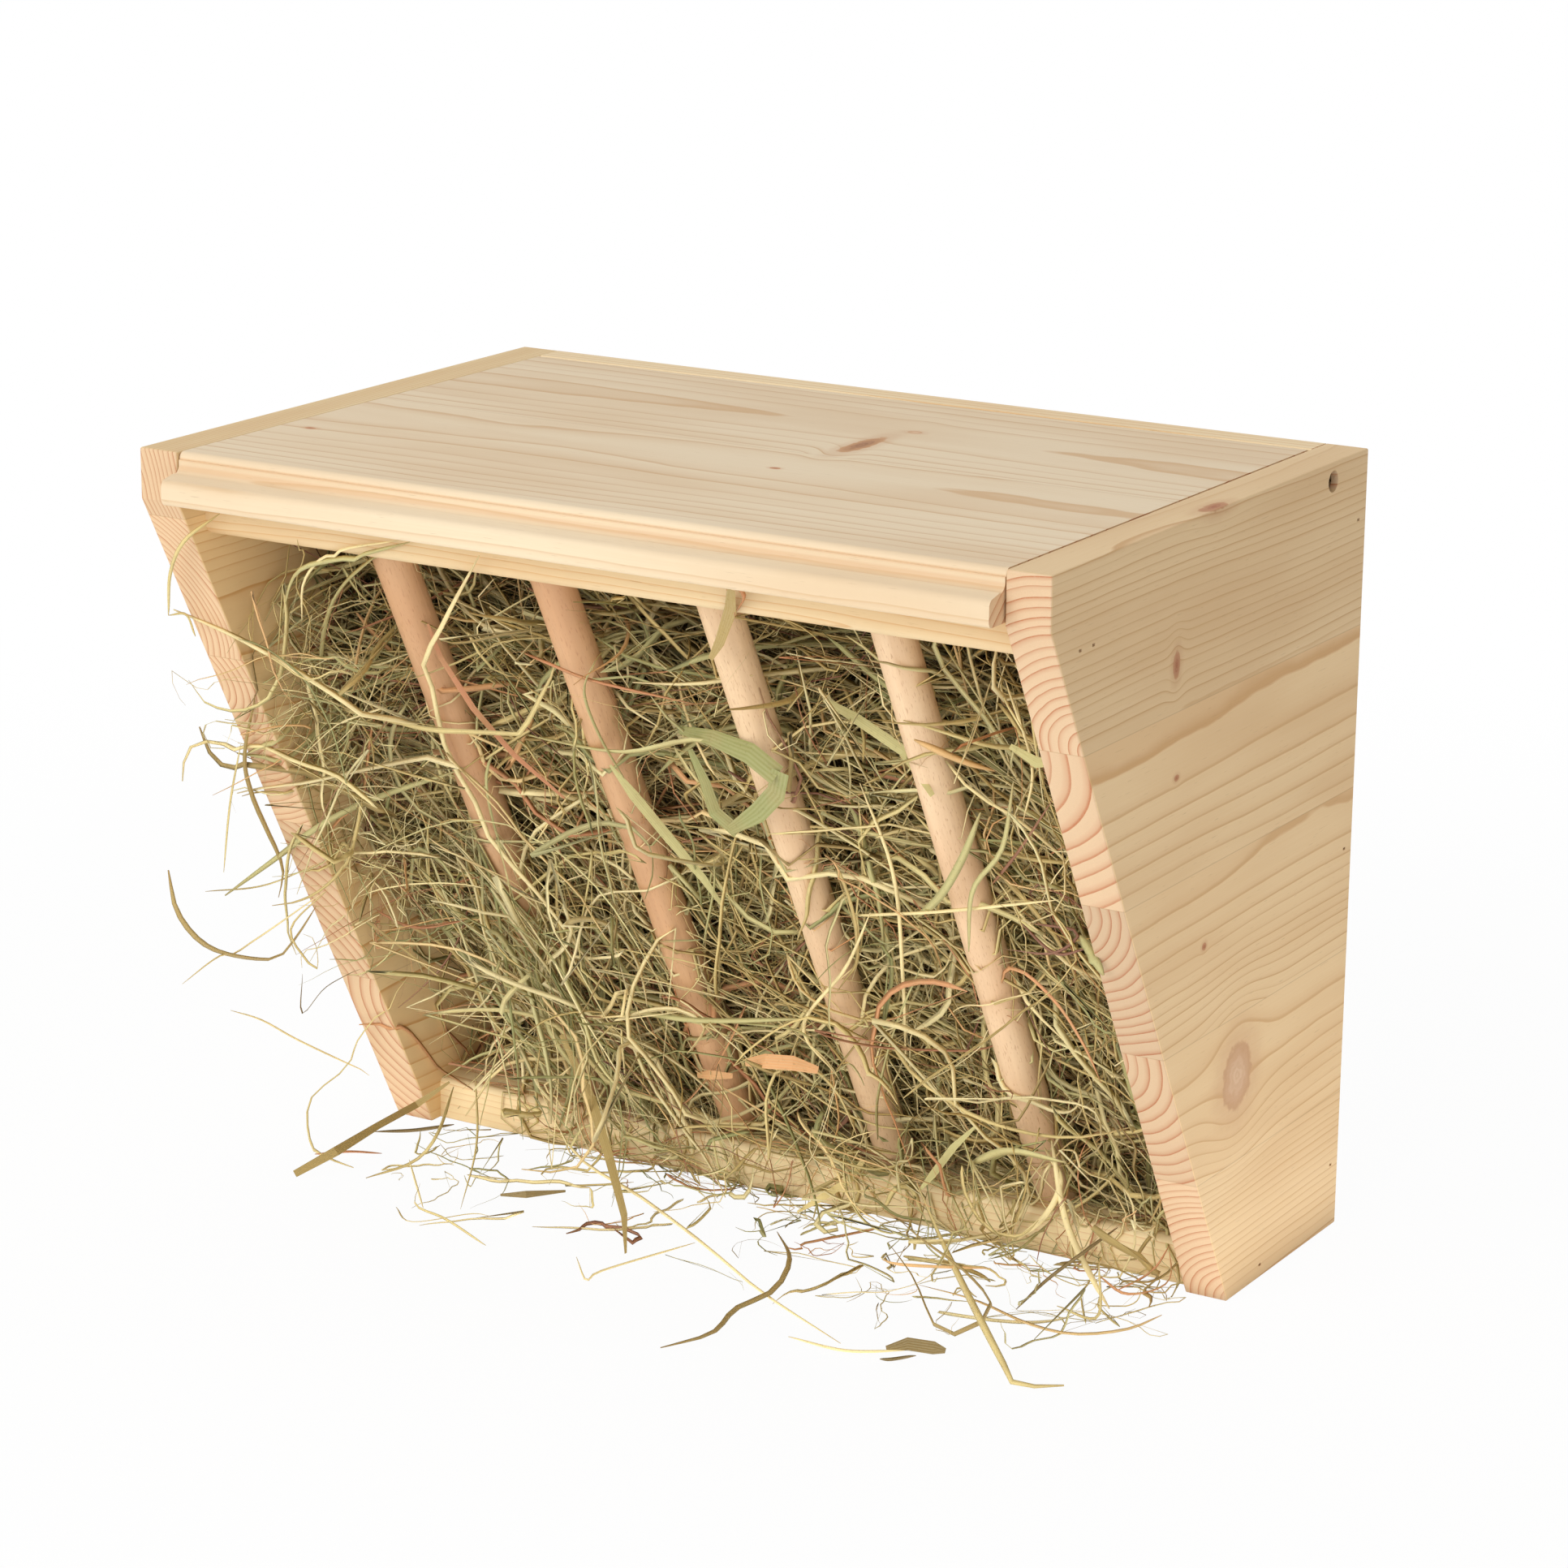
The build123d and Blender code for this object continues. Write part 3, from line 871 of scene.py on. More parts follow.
# %% Strands that hang from the rack
hanging = [
    ("yellow stem from under the lid", "straw", 2.8,
     [(-45, 5, 295), (-70, 10, 270), (-90, 15, 250), (-100, 15, 240), (-105, 20, 225), (-110, 20, 195),
      (-105, 20, 170), (-100, 15, 155), (-85, 15, 130), (-65, 10, 95)]),
    ("green arc from the rail", "green", 2.6,
     [(-80, 10, 295), (-110, 10, 285), (-140, 10, 275), (-160, 15, 255), (-165, 15, 245)]),
    ("thin arc beside it", "straw", 1.6,
     [(-85, 10, 295), (-120, 10, 285), (-140, 10, 270), (-150, 10, 250)]),
    ("broad arc behind them", "green", 3.6,
     [(-105, 20, 285), (-135, 25, 265), (-155, 30, 245), (-175, 35, 215)]),
    ("stem at the upper left corner", "olive", 2.4,
     [(-170, 10, 295), (-180, -5, 285), (-190, -10, 270), (-200, -10, 250)]),
    ("its bent tip", "olive", 1.4, [(-200, -10, 250), (-195, -5, 250), (-195, -5, 240)]),
    ("thread past the first dowel", "olive", 1.0,
     [(-135, 10, 290), (-140, 15, 280), (-150, 15, 265), (-150, 15, 250), (-165, 20, 225)]),
    ("dark thread over the left edge", "dark", 1.0,
     [(-160, 15, 250), (-180, 5, 230), (-180, 0, 215), (-195, -5, 200)]),
    ("wavy blade down the left edge", "umber", 3.4,
     [(-180, 0, 215), (-195, -5, 185), (-200, -5, 165), (-200, -5, 150), (-200, -5, 130),
      (-205, -10, 115)]),
    ("wide arc at the far left", "umber", 2.8,
     [(-215, -55, 140), (-215, -60, 120), (-215, -50, 100), (-215, -20, 85), (-210, -10, 90),
      (-195, 0, 110)]),
    ("long blade out to the left", "green", 2.6,
     [(-215, -30, 120), (-200, -5, 135), (-180, 0, 150), (-165, 10, 160), (-145, 15, 170),
      (-110, 20, 185)]),
    ("upper wisp", "olive", 0.9, [(-195, -5, 190), (-210, -10, 160), (-215, -25, 130)]),
    ("middle wisp", "olive", 1.0, [(-215, -40, 125), (-210, -10, 120), (-180, 0, 135)]),
    ("straw wisp", "straw", 1.0, [(-215, -75, 90), (-215, -50, 95), (-215, -30, 95), (-185, 0, 120)]),
    ("loop at the edge", "olive", 1.0,
     [(-185, 0, 120), (-205, -10, 100), (-205, -10, 85), (-200, -10, 80), (-195, -10, 95),
      (-205, -5, 95)]),
    ("dark hook", "dark", 0.9, [(-210, -10, 75), (-215, -15, 55), (-200, -10, 70), (-185, 0, 80)]),
    ("low wisp", "straw", 1.2,
     [(-215, -55, 70), (-215, -40, 60), (-215, -25, 45), (-210, -10, 30), (-205, 0, 20)]),
    ("blade from the clump", "green", 2.6,
     [(-165, 40, 215), (-180, 35, 205), (-180, 5, 195), (-195, -5, 185)]),
    ("second blade from the clump", "green", 2.4,
     [(-145, 45, 230), (-170, 40, 205), (-180, 5, 185), (-200, -5, 185)]),
    ("curl at the clump", "straw", 2.6,
     [(-160, 45, 195), (-165, 35, 195), (-175, 30, 180), (-180, 5, 175)]),
    ("bright green stem", "fresh", 1.4,
     [(-145, 30, 165), (-130, 25, 155), (-120, 25, 140), (-135, 25, 105)]),
    ("rust curve in the corner", "red", 1.8,
     [(-195, -5, 50), (-180, 5, 50), (-180, 15, 25), (-160, 15, 15)]),
    ("grey blade beside the first dowel", "green", 2.4,
     [(-95, 40, 200), (-95, 20, 185), (-105, 25, 150), (-100, 25, 135)]),
    ("hook over the second dowel", "green", 2.6,
     [(-20, 20, 250), (-30, 20, 235), (-30, 20, 215), (-25, 20, 195)]),
    ("level blade over the second dowel", "green", 3.2,
     [(-90, 35, 205), (-60, 30, 205), (-20, 20, 210), (15, 25, 220), (40, 25, 210)]),
    ("pink thread over the second dowel", "pink", 1.3,
     [(-75, 45, 240), (-45, 22, 245), (-25, 22, 240), (10, 35, 232)]),
    ("thin cross strand", "olive", 1.6, [(-15, 20, 175), (-5, 25, 160), (0, 30, 140)]),
    ("diagonal by the second dowel", "green", 2.6, [(5, 20, 165), (0, 20, 150), (-15, 20, 120)]),
    ("knot on the rail", "red", 1.8, [(60, 10, 290), (65, 5, 300), (70, 5, 295), (60, 10, 285)]),
    ("straw across the third dowel", "straw", 1.8,
     [(45, 40, 140), (70, 25, 150), (105, 20, 160), (165, 10, 180)]),
    ("purple stick", "purple", 2.2, [(165, 25, 220), (145, 25, 195), (120, 35, 170)]),
    ("stub on the fourth dowel", "brown", 2.8, [(115, 20, 238), (130, 25, 230), (140, 30, 226)]),
    ("long straw down the third dowel", "straw", 2.2,
     [(75, 15, 155), (55, 15, 125), (25, 15, 90), (30, 20, 65)]),
    ("blade down the fourth dowel", "green", 2.0,
     [(150, 25, 225), (140, 20, 195), (125, 15, 175), (115, 15, 145)]),
    ("second blade down the fourth dowel", "green", 3.2,
     [(135, 20, 210), (125, 15, 190), (110, 15, 170), (85, 30, 150)]),
    ("rust ribbon at the right", "red", 3.0,
     [(115, 30, 130), (130, 25, 135), (145, 20, 125), (155, 15, 110), (155, 20, 90)]),
    ("purple tangle", "purple", 1.3, [(135, 25, 160), (150, 20, 150), (165, 20, 155)]),
    ("purple tangle, lower", "purple", 1.3,
     [(125, 25, 145), (150, 20, 150), (160, 25, 160), (140, 25, 160)]),
    ("bract on the right panel's edge", "green", 3.6, [(170, 10, 165), (180, 0, 160), (185, -5, 155)]),
    ("bow over the lower dowels", "green", 2.8,
     [(-45, 20, 80), (-10, 15, 85), (25, 10, 90), (30, 15, 80)]),
    ("second bow", "green", 2.2, [(-80, 20, 75), (-50, 15, 80), (-20, 10, 85), (30, 15, 95)]),
    ("long diagonal between the dowels", "green", 2.4,
     [(90, 20, 135), (70, 15, 100), (50, 15, 60), (40, 20, 35)]),
    ("long upright between the dowels", "straw", 2.0,
     [(78, 30, 210), (82, 28, 170), (74, 24, 120), (66, 20, 80)]),
    ("upright by the right panel", "olive", 2.2, [(160, 35, 262), (158, 32, 225), (163, 30, 190)]),
    ("second upright by the right panel", "straw", 1.6,
     [(150, 38, 265), (154, 34, 230), (146, 30, 205)]),
    ("low green leaf", "green", 3.6, [(85, 15, 35), (110, 10, 50), (135, 10, 50)]),
    ("low yellow blade", "straw", 3.6, [(110, -5, 10), (125, 0, 25), (130, 10, 40), (120, 20, 50)]),
    ("curl at the floor board", "olive", 2.4, [(50, -5, 10), (55, 0, 20), (60, 5, 20), (65, 0, 10)]),
]
print(len(hanging), "strands hang from the rack")

# %% Strands that lie on the table
lying = [
    ("stem that slid off at the left", "olive", 1.8,
     [(-170, 5, 75), (-195, 5, 45), (-210, 15, 25), (-215, -5, 15), (-200, -25, 5), (-185, -35, 5),
      (-170, -35, 3)]),
    ("rust bit", "red", 2.8, [(-190, -35, 5), (-180, -25, 5), (-170, -15, 3)]),
    ("dark stalk by the corner", "dark", 1.6, [(-185, 0, 5), (-175, 15, 3), (-165, 30, 3)]),
    ("stem by the left corner", "olive", 1.4,
     [(-160, -40, 2), (-150, -20, 5), (-145, -10, 15), (-165, 30, 20)]),
    ("long yellow stem on the table", "straw", 1.8,
     [(-120, 25, 35), (-100, 25, 5), (-40, -15, 10), (15, -55, 15), (45, -60, 3), (95, -85, 2)]),
    ("thread under the sheaf", "olive", 1.0, [(-150, 25, 30), (-125, -10, 15), (-105, -50, 3)]),
    ("straw bit in front of it", "straw", 1.2, [(-145, -30, 10), (-130, -45, 5), (-120, -55, 2)]),
    ("fork, first branch", "olive", 1.0,
     [(-130, -60, 2), (-115, -70, 2), (-100, -50, 2), (-90, -50, 3)]),
    ("fork, second branch", "olive", 1.2,
     [(-125, -50, 10), (-120, -60, 5), (-105, -60, 2), (-75, -75, 2)]),
    ("thin angle", "straw", 1.2, [(-35, -70, 4), (-20, -85, 2), (-20, -75, 3), (-5, -30, 3)]),
    ("dark blade that curls forward", "umber", 2.2,
     [(15, 0, 2), (45, -40, 10), (50, -60, 5), (45, -80, 3), (50, -105, 3), (40, -125, 2)]),
    ("flat straw pair", "straw", 1.6, [(75, -90, 2), (100, -90, 2), (120, -80, 3)]),
    ("dark twig", "dark", 1.4, [(115, -90, 2), (120, -90, 3), (125, -80, 2)]),
    ("blade that loops in front", "umber", 2.4,
     [(55, 30, 5), (80, 5, 10), (110, -15, 10), (135, -40, 10), (130, -50, 3), (120, -55, 3),
      (95, -30, 10), (75, -15, 15)]),
    ("longest blade in front", "olive", 3.2,
     [(65, 25, 25), (80, 20, 5), (135, -50, 10), (165, -80, 3), (170, -85, 2), (185, -75, 2)]),
    ("bark strip by the floor board", "brown", 3.4, [(70, -10, 5), (80, -10, 5), (110, 5, 5)]),
    ("long thin bow at the right", "brown", 1.4,
     [(95, -25, 5), (120, -25, 4), (145, -30, 2), (165, -30, 2), (180, -15, 2), (185, 5, 2)]),
    ("twig under the right end", "olive", 1.2, [(150, -15, 5), (165, -10, 2), (160, 0, 20)]),
    ("dark stalk at the right", "dark", 1.4,
     [(135, -20, 2), (140, -5, 10), (150, 10, 20), (155, 25, 25)]),
    ("rust tuft", "red", 1.8, [(160, 15, 3), (170, 25, 10), (175, 30, 20)]),
    ("rust tuft, second stem", "red", 1.6, [(155, 10, 10), (165, 15, 3), (175, 30, 5), (175, 30, 20)]),
    ("yellow leaf at the right", "straw", 3.6,
     [(165, 0, 2), (155, 5, 10), (135, 20, 25), (125, 25, 55)]),
]
print(len(lying), "strands lie on the table")

# %% [markdown]
# Broad leaves show their flat side to the front, and a folded one has a sharp corner. They are
# ribbons: each point of a row gives the middle of the leaf and its width there, and between the
# points the leaf is straight.

# %% Broad leaves and strips of bark
leaves = [
    ("leaf folded over the third dowel", "fresh",
     [(0, 32, 220, 3), (20, 24, 222, 6), (40, 18, 220, 8), (54, 12, 214, 8)]),
    ("the same leaf past its fold", "fresh",
     [(56, 12, 216, 7), (50, 13, 205, 8), (38, 14, 194, 8), (20, 16, 182, 4)]),
    ("its tip, folded up", "fresh",
     [(24, 16, 182, 5), (13, 20, 188, 5), (10, 24, 200, 4), (5, 28, 213, 2)]),
    ("pink blade between the first dowels", "pink",
     [(-95, 20, 255, 1), (-95, 20, 240, 2), (-88, 20, 218, 2.4), (-78, 22, 198, 2), (-62, 24, 180, 1)]),
    ("blade that hangs from the rail", "umber",
     [(66, 4, 297, 3), (60, 8, 287, 5), (46, 14, 270, 4), (36, 18, 260, 2)]),
    ("sage leaf by the second dowel", "green",
     [(-30, 20, 202, 1), (-22, 18, 190, 4), (-12, 18, 172, 4), (-2, 18, 155, 3), (2, 20, 140, 1)]),
    ("bark chip", "bark", [(-8, 12, 66, 3), (4, 10, 70, 6), (16, 12, 71, 6), (26, 14, 69, 3)]),
    ("low bark chip", "bark", [(-40, 18, 50, 2), (-30, 14, 54, 4), (-20, 16, 55, 2)]),
    ("leaf that droops over the floor board", "olive",
     [(38, 8, 28, 2), (34, 0, 20, 3), (24, -10, 12, 3), (16, -18, 6, 1)]),
    ("second leaf that droops", "green",
     [(92, 18, 55, 1), (82, 12, 44, 3), (72, 6, 30, 3), (66, 2, 22, 1)]),
    ("brown blade that hangs to the table", "umber",
     [(-96, 8, 62, 2), (-86, 0, 34, 4), (-64, -28, 18, 4), (-38, -62, 8, 3), (-22, -88, 3, 1)]),
    ("sage blade in the upper bay", "green",
     [(62, 46, 240, 2), (78, 40, 236, 4), (98, 36, 226, 4), (116, 20, 214, 2)]),
    ("sage blade at the right", "green", [(152, 26, 240, 2), (164, 22, 236, 4), (176, 24, 238, 2)]),
]
table_leaves = [
    ("brown blade across the left corner", "umber",
     [(-186, -54, 3, 3), (-178, -36, 9, 4), (-180, -4, 10, 3), (-180, 24, 11, 3), (-170, 34, 20, 1)]),
    ("dark leaf on the table", "dark", [(-102, -26, 2, 1), (-92, -22, 3, 3), (-82, -8, 2, 1)]),
    ("crumpled dark leaf", "dark",
     [(112, -80, 2, 2), (119, -76, 4, 5), (128, -72, 3, 5), (132, -70, 2, 2)]),
]
print(len(leaves) + len(table_leaves), "broad leaves")


single_points = 18


def smooth_path(given):
    """Evenly spaced points on a Catmull-Rom curve through the given ones."""
    knots = np.array(given, float)
    knots = np.vstack([2 * knots[0] - knots[1], knots, 2 * knots[-1] - knots[-2]])
    part = np.linspace(0, 1, 12, endpoint=False)[:, None]
    fine = []
    for before, first, last, after in zip(knots, knots[1:], knots[2:], knots[3:]):
        once = last - before
        squared = 2 * before - 5 * first + 4 * last - after
        cubed = 3 * first - before - 3 * last + after
        fine.append(0.5 * (2 * first + once * part + squared * part**2 + cubed * part**3))
    fine = np.vstack(fine + [knots[-2:-1]])
    run = np.r_[0, np.cumsum(np.linalg.norm(np.diff(fine, axis=0), axis=1))]
    even = np.linspace(0, run[-1], single_points)
    return np.stack([np.interp(even, run, fine[:, axis]) for axis in range(3)], -1)


def on_slope(points):
    """Turns rows of across, behind the slope, height into x, y, z."""
    return from_front(*np.array(points, float).T)


singles = [(kind, width, smooth_path(on_slope(points))) for _, kind, width, points in hanging]
singles += [(kind, width, smooth_path(points)) for _, kind, width, points in lying]
by_hand = settle(np.array([path for _, _, path in singles]), rounds=6, room=0.9, between_panels=False)

# %% [markdown]
# ### The colours of hay
#
# Every strand carries a number, its tint, from dark olive over sage green and straw to rust and
# purple brown. One material turns the number into a colour, adds fine lengthwise veins and
# browns the tips, and paints shade over what lies deep inside, darker the deeper it lies.
# So a few thousand strands need only this one finish.

# %% Hay finish
hay, bench, shader = new_finish("dry_hay")
tint = bench.add("ShaderNodeAttribute", attribute_name="tint").outputs["Fac"]
along = bench.add("ShaderNodeAttribute", attribute_name="along").outputs["Fac"]
across = bench.add("ShaderNodeAttribute", attribute_name="across").outputs["Fac"]
mm, _ = bench.in_millimetres()
shade = bench.ramp(tint, [
    (0.00, colour(118, 96, 56)), (0.12, colour(194, 166, 100)), (0.28, colour(228, 205, 138)),
    (0.42, colour(222, 209, 146)), (0.52, colour(152, 154, 96)), (0.62, colour(232, 218, 160)),
    (0.74, colour(250, 232, 178)), (0.82, colour(252, 232, 168)), (0.88, colour(238, 190, 128)),
    (0.94, colour(212, 142, 98)), (1.00, colour(132, 82, 66)),
])
x, y, z = bench.split(mm)
# How deep a point lies behind the slope or under the top, for the painted shade
deep = bench.math("MULTIPLY_ADD", z, slope, bench.math("ADD", y, slope_front - slope_top * slope))
from_above = bench.math("SUBTRACT", 325.0, z)
shade_depth = bench.math("MINIMUM", deep, from_above)
patch = bench.noise(mm, 0.06, 2.0).outputs["Fac"]
shade = bench.mix(bench.between(patch, 0.45, 0.7, 0.0, 0.28), shade, colour(176, 148, 98))
vein = bench.math("SINE", bench.math("MULTIPLY", across, 16.0))
veins = bench.between(vein, -1.0, 1.0, 0.0, 0.16)
shade = bench.mix(veins, shade, colour(214, 206, 168))
tips = bench.math("ABSOLUTE", bench.math("SUBTRACT", along, 0.5))
shade = bench.mix(bench.between(tips, 0.38, 0.5, 0.0, 0.3), shade, colour(150, 112, 72))
speck = bench.noise(mm, 0.9, 2.0).outputs["Fac"]
shade = bench.mix(bench.between(speck, 0.6, 0.75, 0.0, 0.22), shade, colour(96, 80, 50))
# Painted shade: the deeper the hay lies, the darker brown it is painted
shade = bench.mix(bench.between(shade_depth, 50.0, 94.0, 0.0, 0.84), shade, colour(88, 70, 42))
bench.feed(shader, {"Base Color": shade, "Roughness": bench.between(speck, 0.3, 0.7, 0.5, 0.7),
                    "Normal": bench.grooves(vein, 0.15, 0.0001), "Specular IOR Level": 0.3})
print("hay finish has", len(hay.node_tree.nodes), "nodes")

# %% [markdown]
# ### From paths to blades
#
# The tree takes a mesh that holds nothing but chains of edges. Mesh to Curve makes each chain a
# spline, and Curve to Mesh sweeps a flat section along it. For most blades that is a triangle
# with its midrib as the third corner. The section is scaled by the strand's own half width and
# thins out towards both ends. A random number for each spline, from a fixed seed, sets where
# the blade faces and how far it twists.

# %% Build the blade tree
def blade_tree():
    tree = bpy.data.node_groups.new("hay_blades", "GeometryNodeTree")
    sockets = [
        ("Paths", "NodeSocketGeometry", None), ("Width", "NodeSocketFloat", 1.0),
        ("Thickness", "NodeSocketFloat", 0.2), ("Fold", "NodeSocketFloat", 0.25),
        ("Twist", "NodeSocketFloat", 1.6), ("Sides", "NodeSocketInt", 3),
        ("Seed", "NodeSocketInt", 7), ("Finish", "NodeSocketMaterial", None),
    ]
    for name, kind, start in sockets:
        item = tree.interface.new_socket(name, in_out="INPUT", socket_type=kind)
        if start is not None:
            item.default_value = start
    tree.interface.new_socket("Blades", in_out="OUTPUT", socket_type="NodeSocketGeometry")
    bench = Bench(tree)
    given = bench.add("NodeGroupInput").outputs

    def store(geometry, name, value):
        inputs = {"Geometry": geometry, "Name": name, "Value": value}
        stored = bench.add("GeometryNodeStoreNamedAttribute", inputs, data_type="FLOAT", domain="POINT")
        return stored.outputs[0]

    # The path, with where each point is along it
    curve = bench.add("GeometryNodeMeshToCurve", {"Mesh": given["Paths"]}).outputs[0]
    factor = bench.add("GeometryNodeSplineParameter").outputs["Factor"]
    curve = store(curve, "along", factor)
    which = bench.add("GeometryNodeCurveOfPoint").outputs["Curve Index"]

    def roll(low, high, offset):
        """A random number for each path."""
        seed = bench.math("ADD", given["Seed"], float(offset))
        inputs = {2: low, 3: high, "ID": which, "Seed": seed}
        return bench.add("FunctionNodeRandomValue", inputs, data_type="FLOAT").outputs[1]

    facing = roll(-3.1416, 3.1416, 1)
    twist = bench.math("MULTIPLY", bench.math("MULTIPLY", roll(-1.0, 1.0, 2), given["Twist"]), factor)
    tilt = bench.math("ADD", facing, twist)
    curve = bench.add("GeometryNodeSetCurveTilt", {"Curve": curve, "Tilt": tilt}).outputs[0]

    # Its width, which thins out to a fifth at both ends
    middle = bench.math("SUBTRACT", bench.math("MULTIPLY", factor, 2.0), 1.0)
    ends = bench.math("POWER", bench.math("ABSOLUTE", middle), 3.5)
    taper = bench.math("SUBTRACT", 1.0, bench.math("MULTIPLY", ends, 0.78))
    half_width = bench.add("GeometryNodeInputNamedAttribute", {"Name": "half_width"}, data_type="FLOAT")
    half_width = half_width.outputs[0]
    size = bench.math("MULTIPLY", bench.math("MULTIPLY", half_width, taper), given["Width"])

    # The section, a ring pressed flat and folded along its middle
    ring = {"Resolution": given["Sides"], "Radius": 1.0}
    section = bench.add("GeometryNodeCurvePrimitiveCircle", ring).outputs["Curve"]
    across, up, _ = bench.split(bench.add("GeometryNodeInputPosition").outputs[0])
    section = store(section, "across", across)
    fold = bench.math("MULTIPLY", bench.math("ABSOLUTE", across), given["Fold"])
    pressed = bench.math("MULTIPLY", up, given["Thickness"])
    flat = bench.join(across, bench.math("ADD", pressed, fold), 0.0)
    section = bench.add("GeometryNodeSetPosition", {"Geometry": section, "Position": flat}).outputs[0]

    sweep = {"Curve": curve, "Profile Curve": section, "Scale": size, "Fill Caps": True}
    blades = bench.add("GeometryNodeCurveToMesh", sweep).outputs[0]
    blades = bench.add("GeometryNodeSetShadeSmooth", {"Geometry": blades, "Shade Smooth": True}).outputs[0]
    blades = bench.add("GeometryNodeRealizeInstances", {"Geometry": blades}).outputs[0]
    dressed = {"Geometry": blades, "Material": given["Finish"]}
    blades = bench.add("GeometryNodeSetMaterial", dressed).outputs[0]
    bench.add("NodeGroupOutput", {"Blades": blades})
    return tree


hay_blades = blade_tree()
print("the blade tree has", len(hay_blades.nodes), "nodes")

# %% Grow blades along paths
above_table = 0.1 / 1000.0


def rest_on_table(mesh):
    """Presses flat whatever would reach into the table, as the table does."""
    places = np.empty(3 * len(mesh.vertices), np.float32)
    mesh.vertices.foreach_get("co", places)
    places[2::3] = np.maximum(places[2::3], above_table)
    mesh.vertices.foreach_set("co", places)
    mesh.update()


def grow(name, paths, half_widths, tints, **sizes):
    """A plain mesh of blades along paths given in millimetres, riding on the box."""
    count, points, _ = paths.shape
    chains = bpy.data.meshes.new(name + "_paths")
    starts = np.arange(count)[:, None] * points + np.arange(points - 1)[None, :]
    links = np.stack([starts, starts + 1], -1).reshape(-1, 2)
    chains.from_pydata((paths.reshape(-1, 3) / 1000.0).tolist(), links.tolist(), [])
    for label, values, scale in (("half_width", half_widths, 0.001), ("tint", tints, 1.0)):
        layer = chains.attributes.new(label, "FLOAT", "POINT")
        layer.data.foreach_set("value", np.repeat(np.asarray(values, np.float32) * scale, points))
    source = bpy.data.objects.new(name + "_paths", chains)
    bpy.context.scene.collection.objects.link(source)
    modifier = source.modifiers.new("blades", "NODES")
    modifier.node_group = hay_blades
    ids = {item.name: item.identifier for item in hay_blades.interface.items_tree if item.in_out == "INPUT"}
    modifier[ids["Finish"]] = hay
    for label, value in sizes.items():
        modifier[ids[label]] = value
    view = bpy.context.evaluated_depsgraph_get()
    mesh = bpy.data.meshes.new_from_object(source.evaluated_get(view), depsgraph=view)
    mesh.name = name
    rest_on_table(mesh)
    bpy.data.objects.remove(source)
    piece = bpy.data.objects.new(name, mesh)
    bpy.context.scene.collection.objects.link(piece)
    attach(piece, "box")
    triangles = sum(len(face.vertices) - 2 for face in mesh.polygons)
    print(name, count, "strands,", triangles, "triangles")


# %% [markdown]
# The loose strands are dealt out over four kinds, each with its own widths and tints: thin
# olive blades, broader green ones, thick straw stems, and brown bits.

# %% Deal the strands out over the kinds
kinds = {
    "olive": (0.80, (0.04, 0.36), dict(Thickness=0.3, Sides=3, Seed=11)),
    "green": (1.00, (0.36, 0.68), dict(Thickness=0.2, Sides=3, Seed=12)),
    "straw": (0.68, (0.66, 0.86), dict(Thickness=0.6, Fold=0.0, Sides=3, Seed=13)),
    "brown": (0.62, (0.86, 1.00), dict(Thickness=0.3, Sides=3, Seed=14)),
}
shares = (0.32, 0.32, 0.23, 0.13)
sheaf_shares = (0.12, 0.5, 0.33, 0.05)
stoutness = {"inner": 0.85, "outer": 0.95, "crown": 1.0, "over": 1.05, "sheaf": 0.9, "spill": 0.58,
             "apron": 0.75, "litter": 0.5}
thinnest, widest = 0.2, 1.7
piles = {kind: [] for kind in kinds}
girths = {kind: [] for kind in kinds}
for place, group in paths.items():
    deal = rng.choice(len(kinds), size=len(group), p=sheaf_shares if place == "sheaf" else shares)
    for number, kind in enumerate(kinds):
        chosen = group[deal == number]
        piles[kind].append(chosen)
        girths[kind].append(np.full(len(chosen), stoutness[place]))
for kind, (usual, (low, high), sizes) in kinds.items():
    pile = np.concatenate(piles[kind])
    girth = np.concatenate(girths[kind])
    half_widths = usual * girth * np.exp(0.55 * rng.normal(size=len(pile)))
    half_widths = np.clip(half_widths, thinnest, widest)
    grow(f"hay_{kind}", pile, half_widths, rng.uniform(low, high, len(pile)), **sizes)

# %% [markdown]
# The strands listed one by one are parted in two. Straw is a round stem, and all the others are flat
# blades. A row gives the whole width, so the blades get half of it. The stems get a little less.

# %% Grow the strands listed one by one
tint_of = {"dark": 0.02, "umber": 0.09, "olive": 0.3, "green": 0.46, "fresh": 0.52, "straw": 0.79,
           "brown": 0.87, "bark": 0.91, "red": 0.935, "pink": 0.958, "purple": 0.99}
hand_widths = np.array([width for _, width, _ in singles])
hand_tints = np.array([tint_of[kind] for kind, _, _ in singles])
hand_tints = (hand_tints + rng.uniform(-0.02, 0.02, len(singles))).clip(0, 1)
round_ones = np.array([kind == "straw" for kind, _, _ in singles])
for name, chosen, girth, sizes in (
        ("hay_single_blades", ~round_ones, 0.5, dict(Thickness=0.35, Sides=4, Seed=21)),
        ("hay_single_stems", round_ones, 0.4, dict(Thickness=0.9, Fold=0.0, Sides=6, Seed=22))):
    grow(name, by_hand[chosen], hand_widths[chosen] * girth, hand_tints[chosen], Twist=1.0, **sizes)

# %% Cut the broad leaves
leaf_facing = (0.35, -0.9, 0.25)
leaf_thickness = 0.25
midrib_height = 0.06


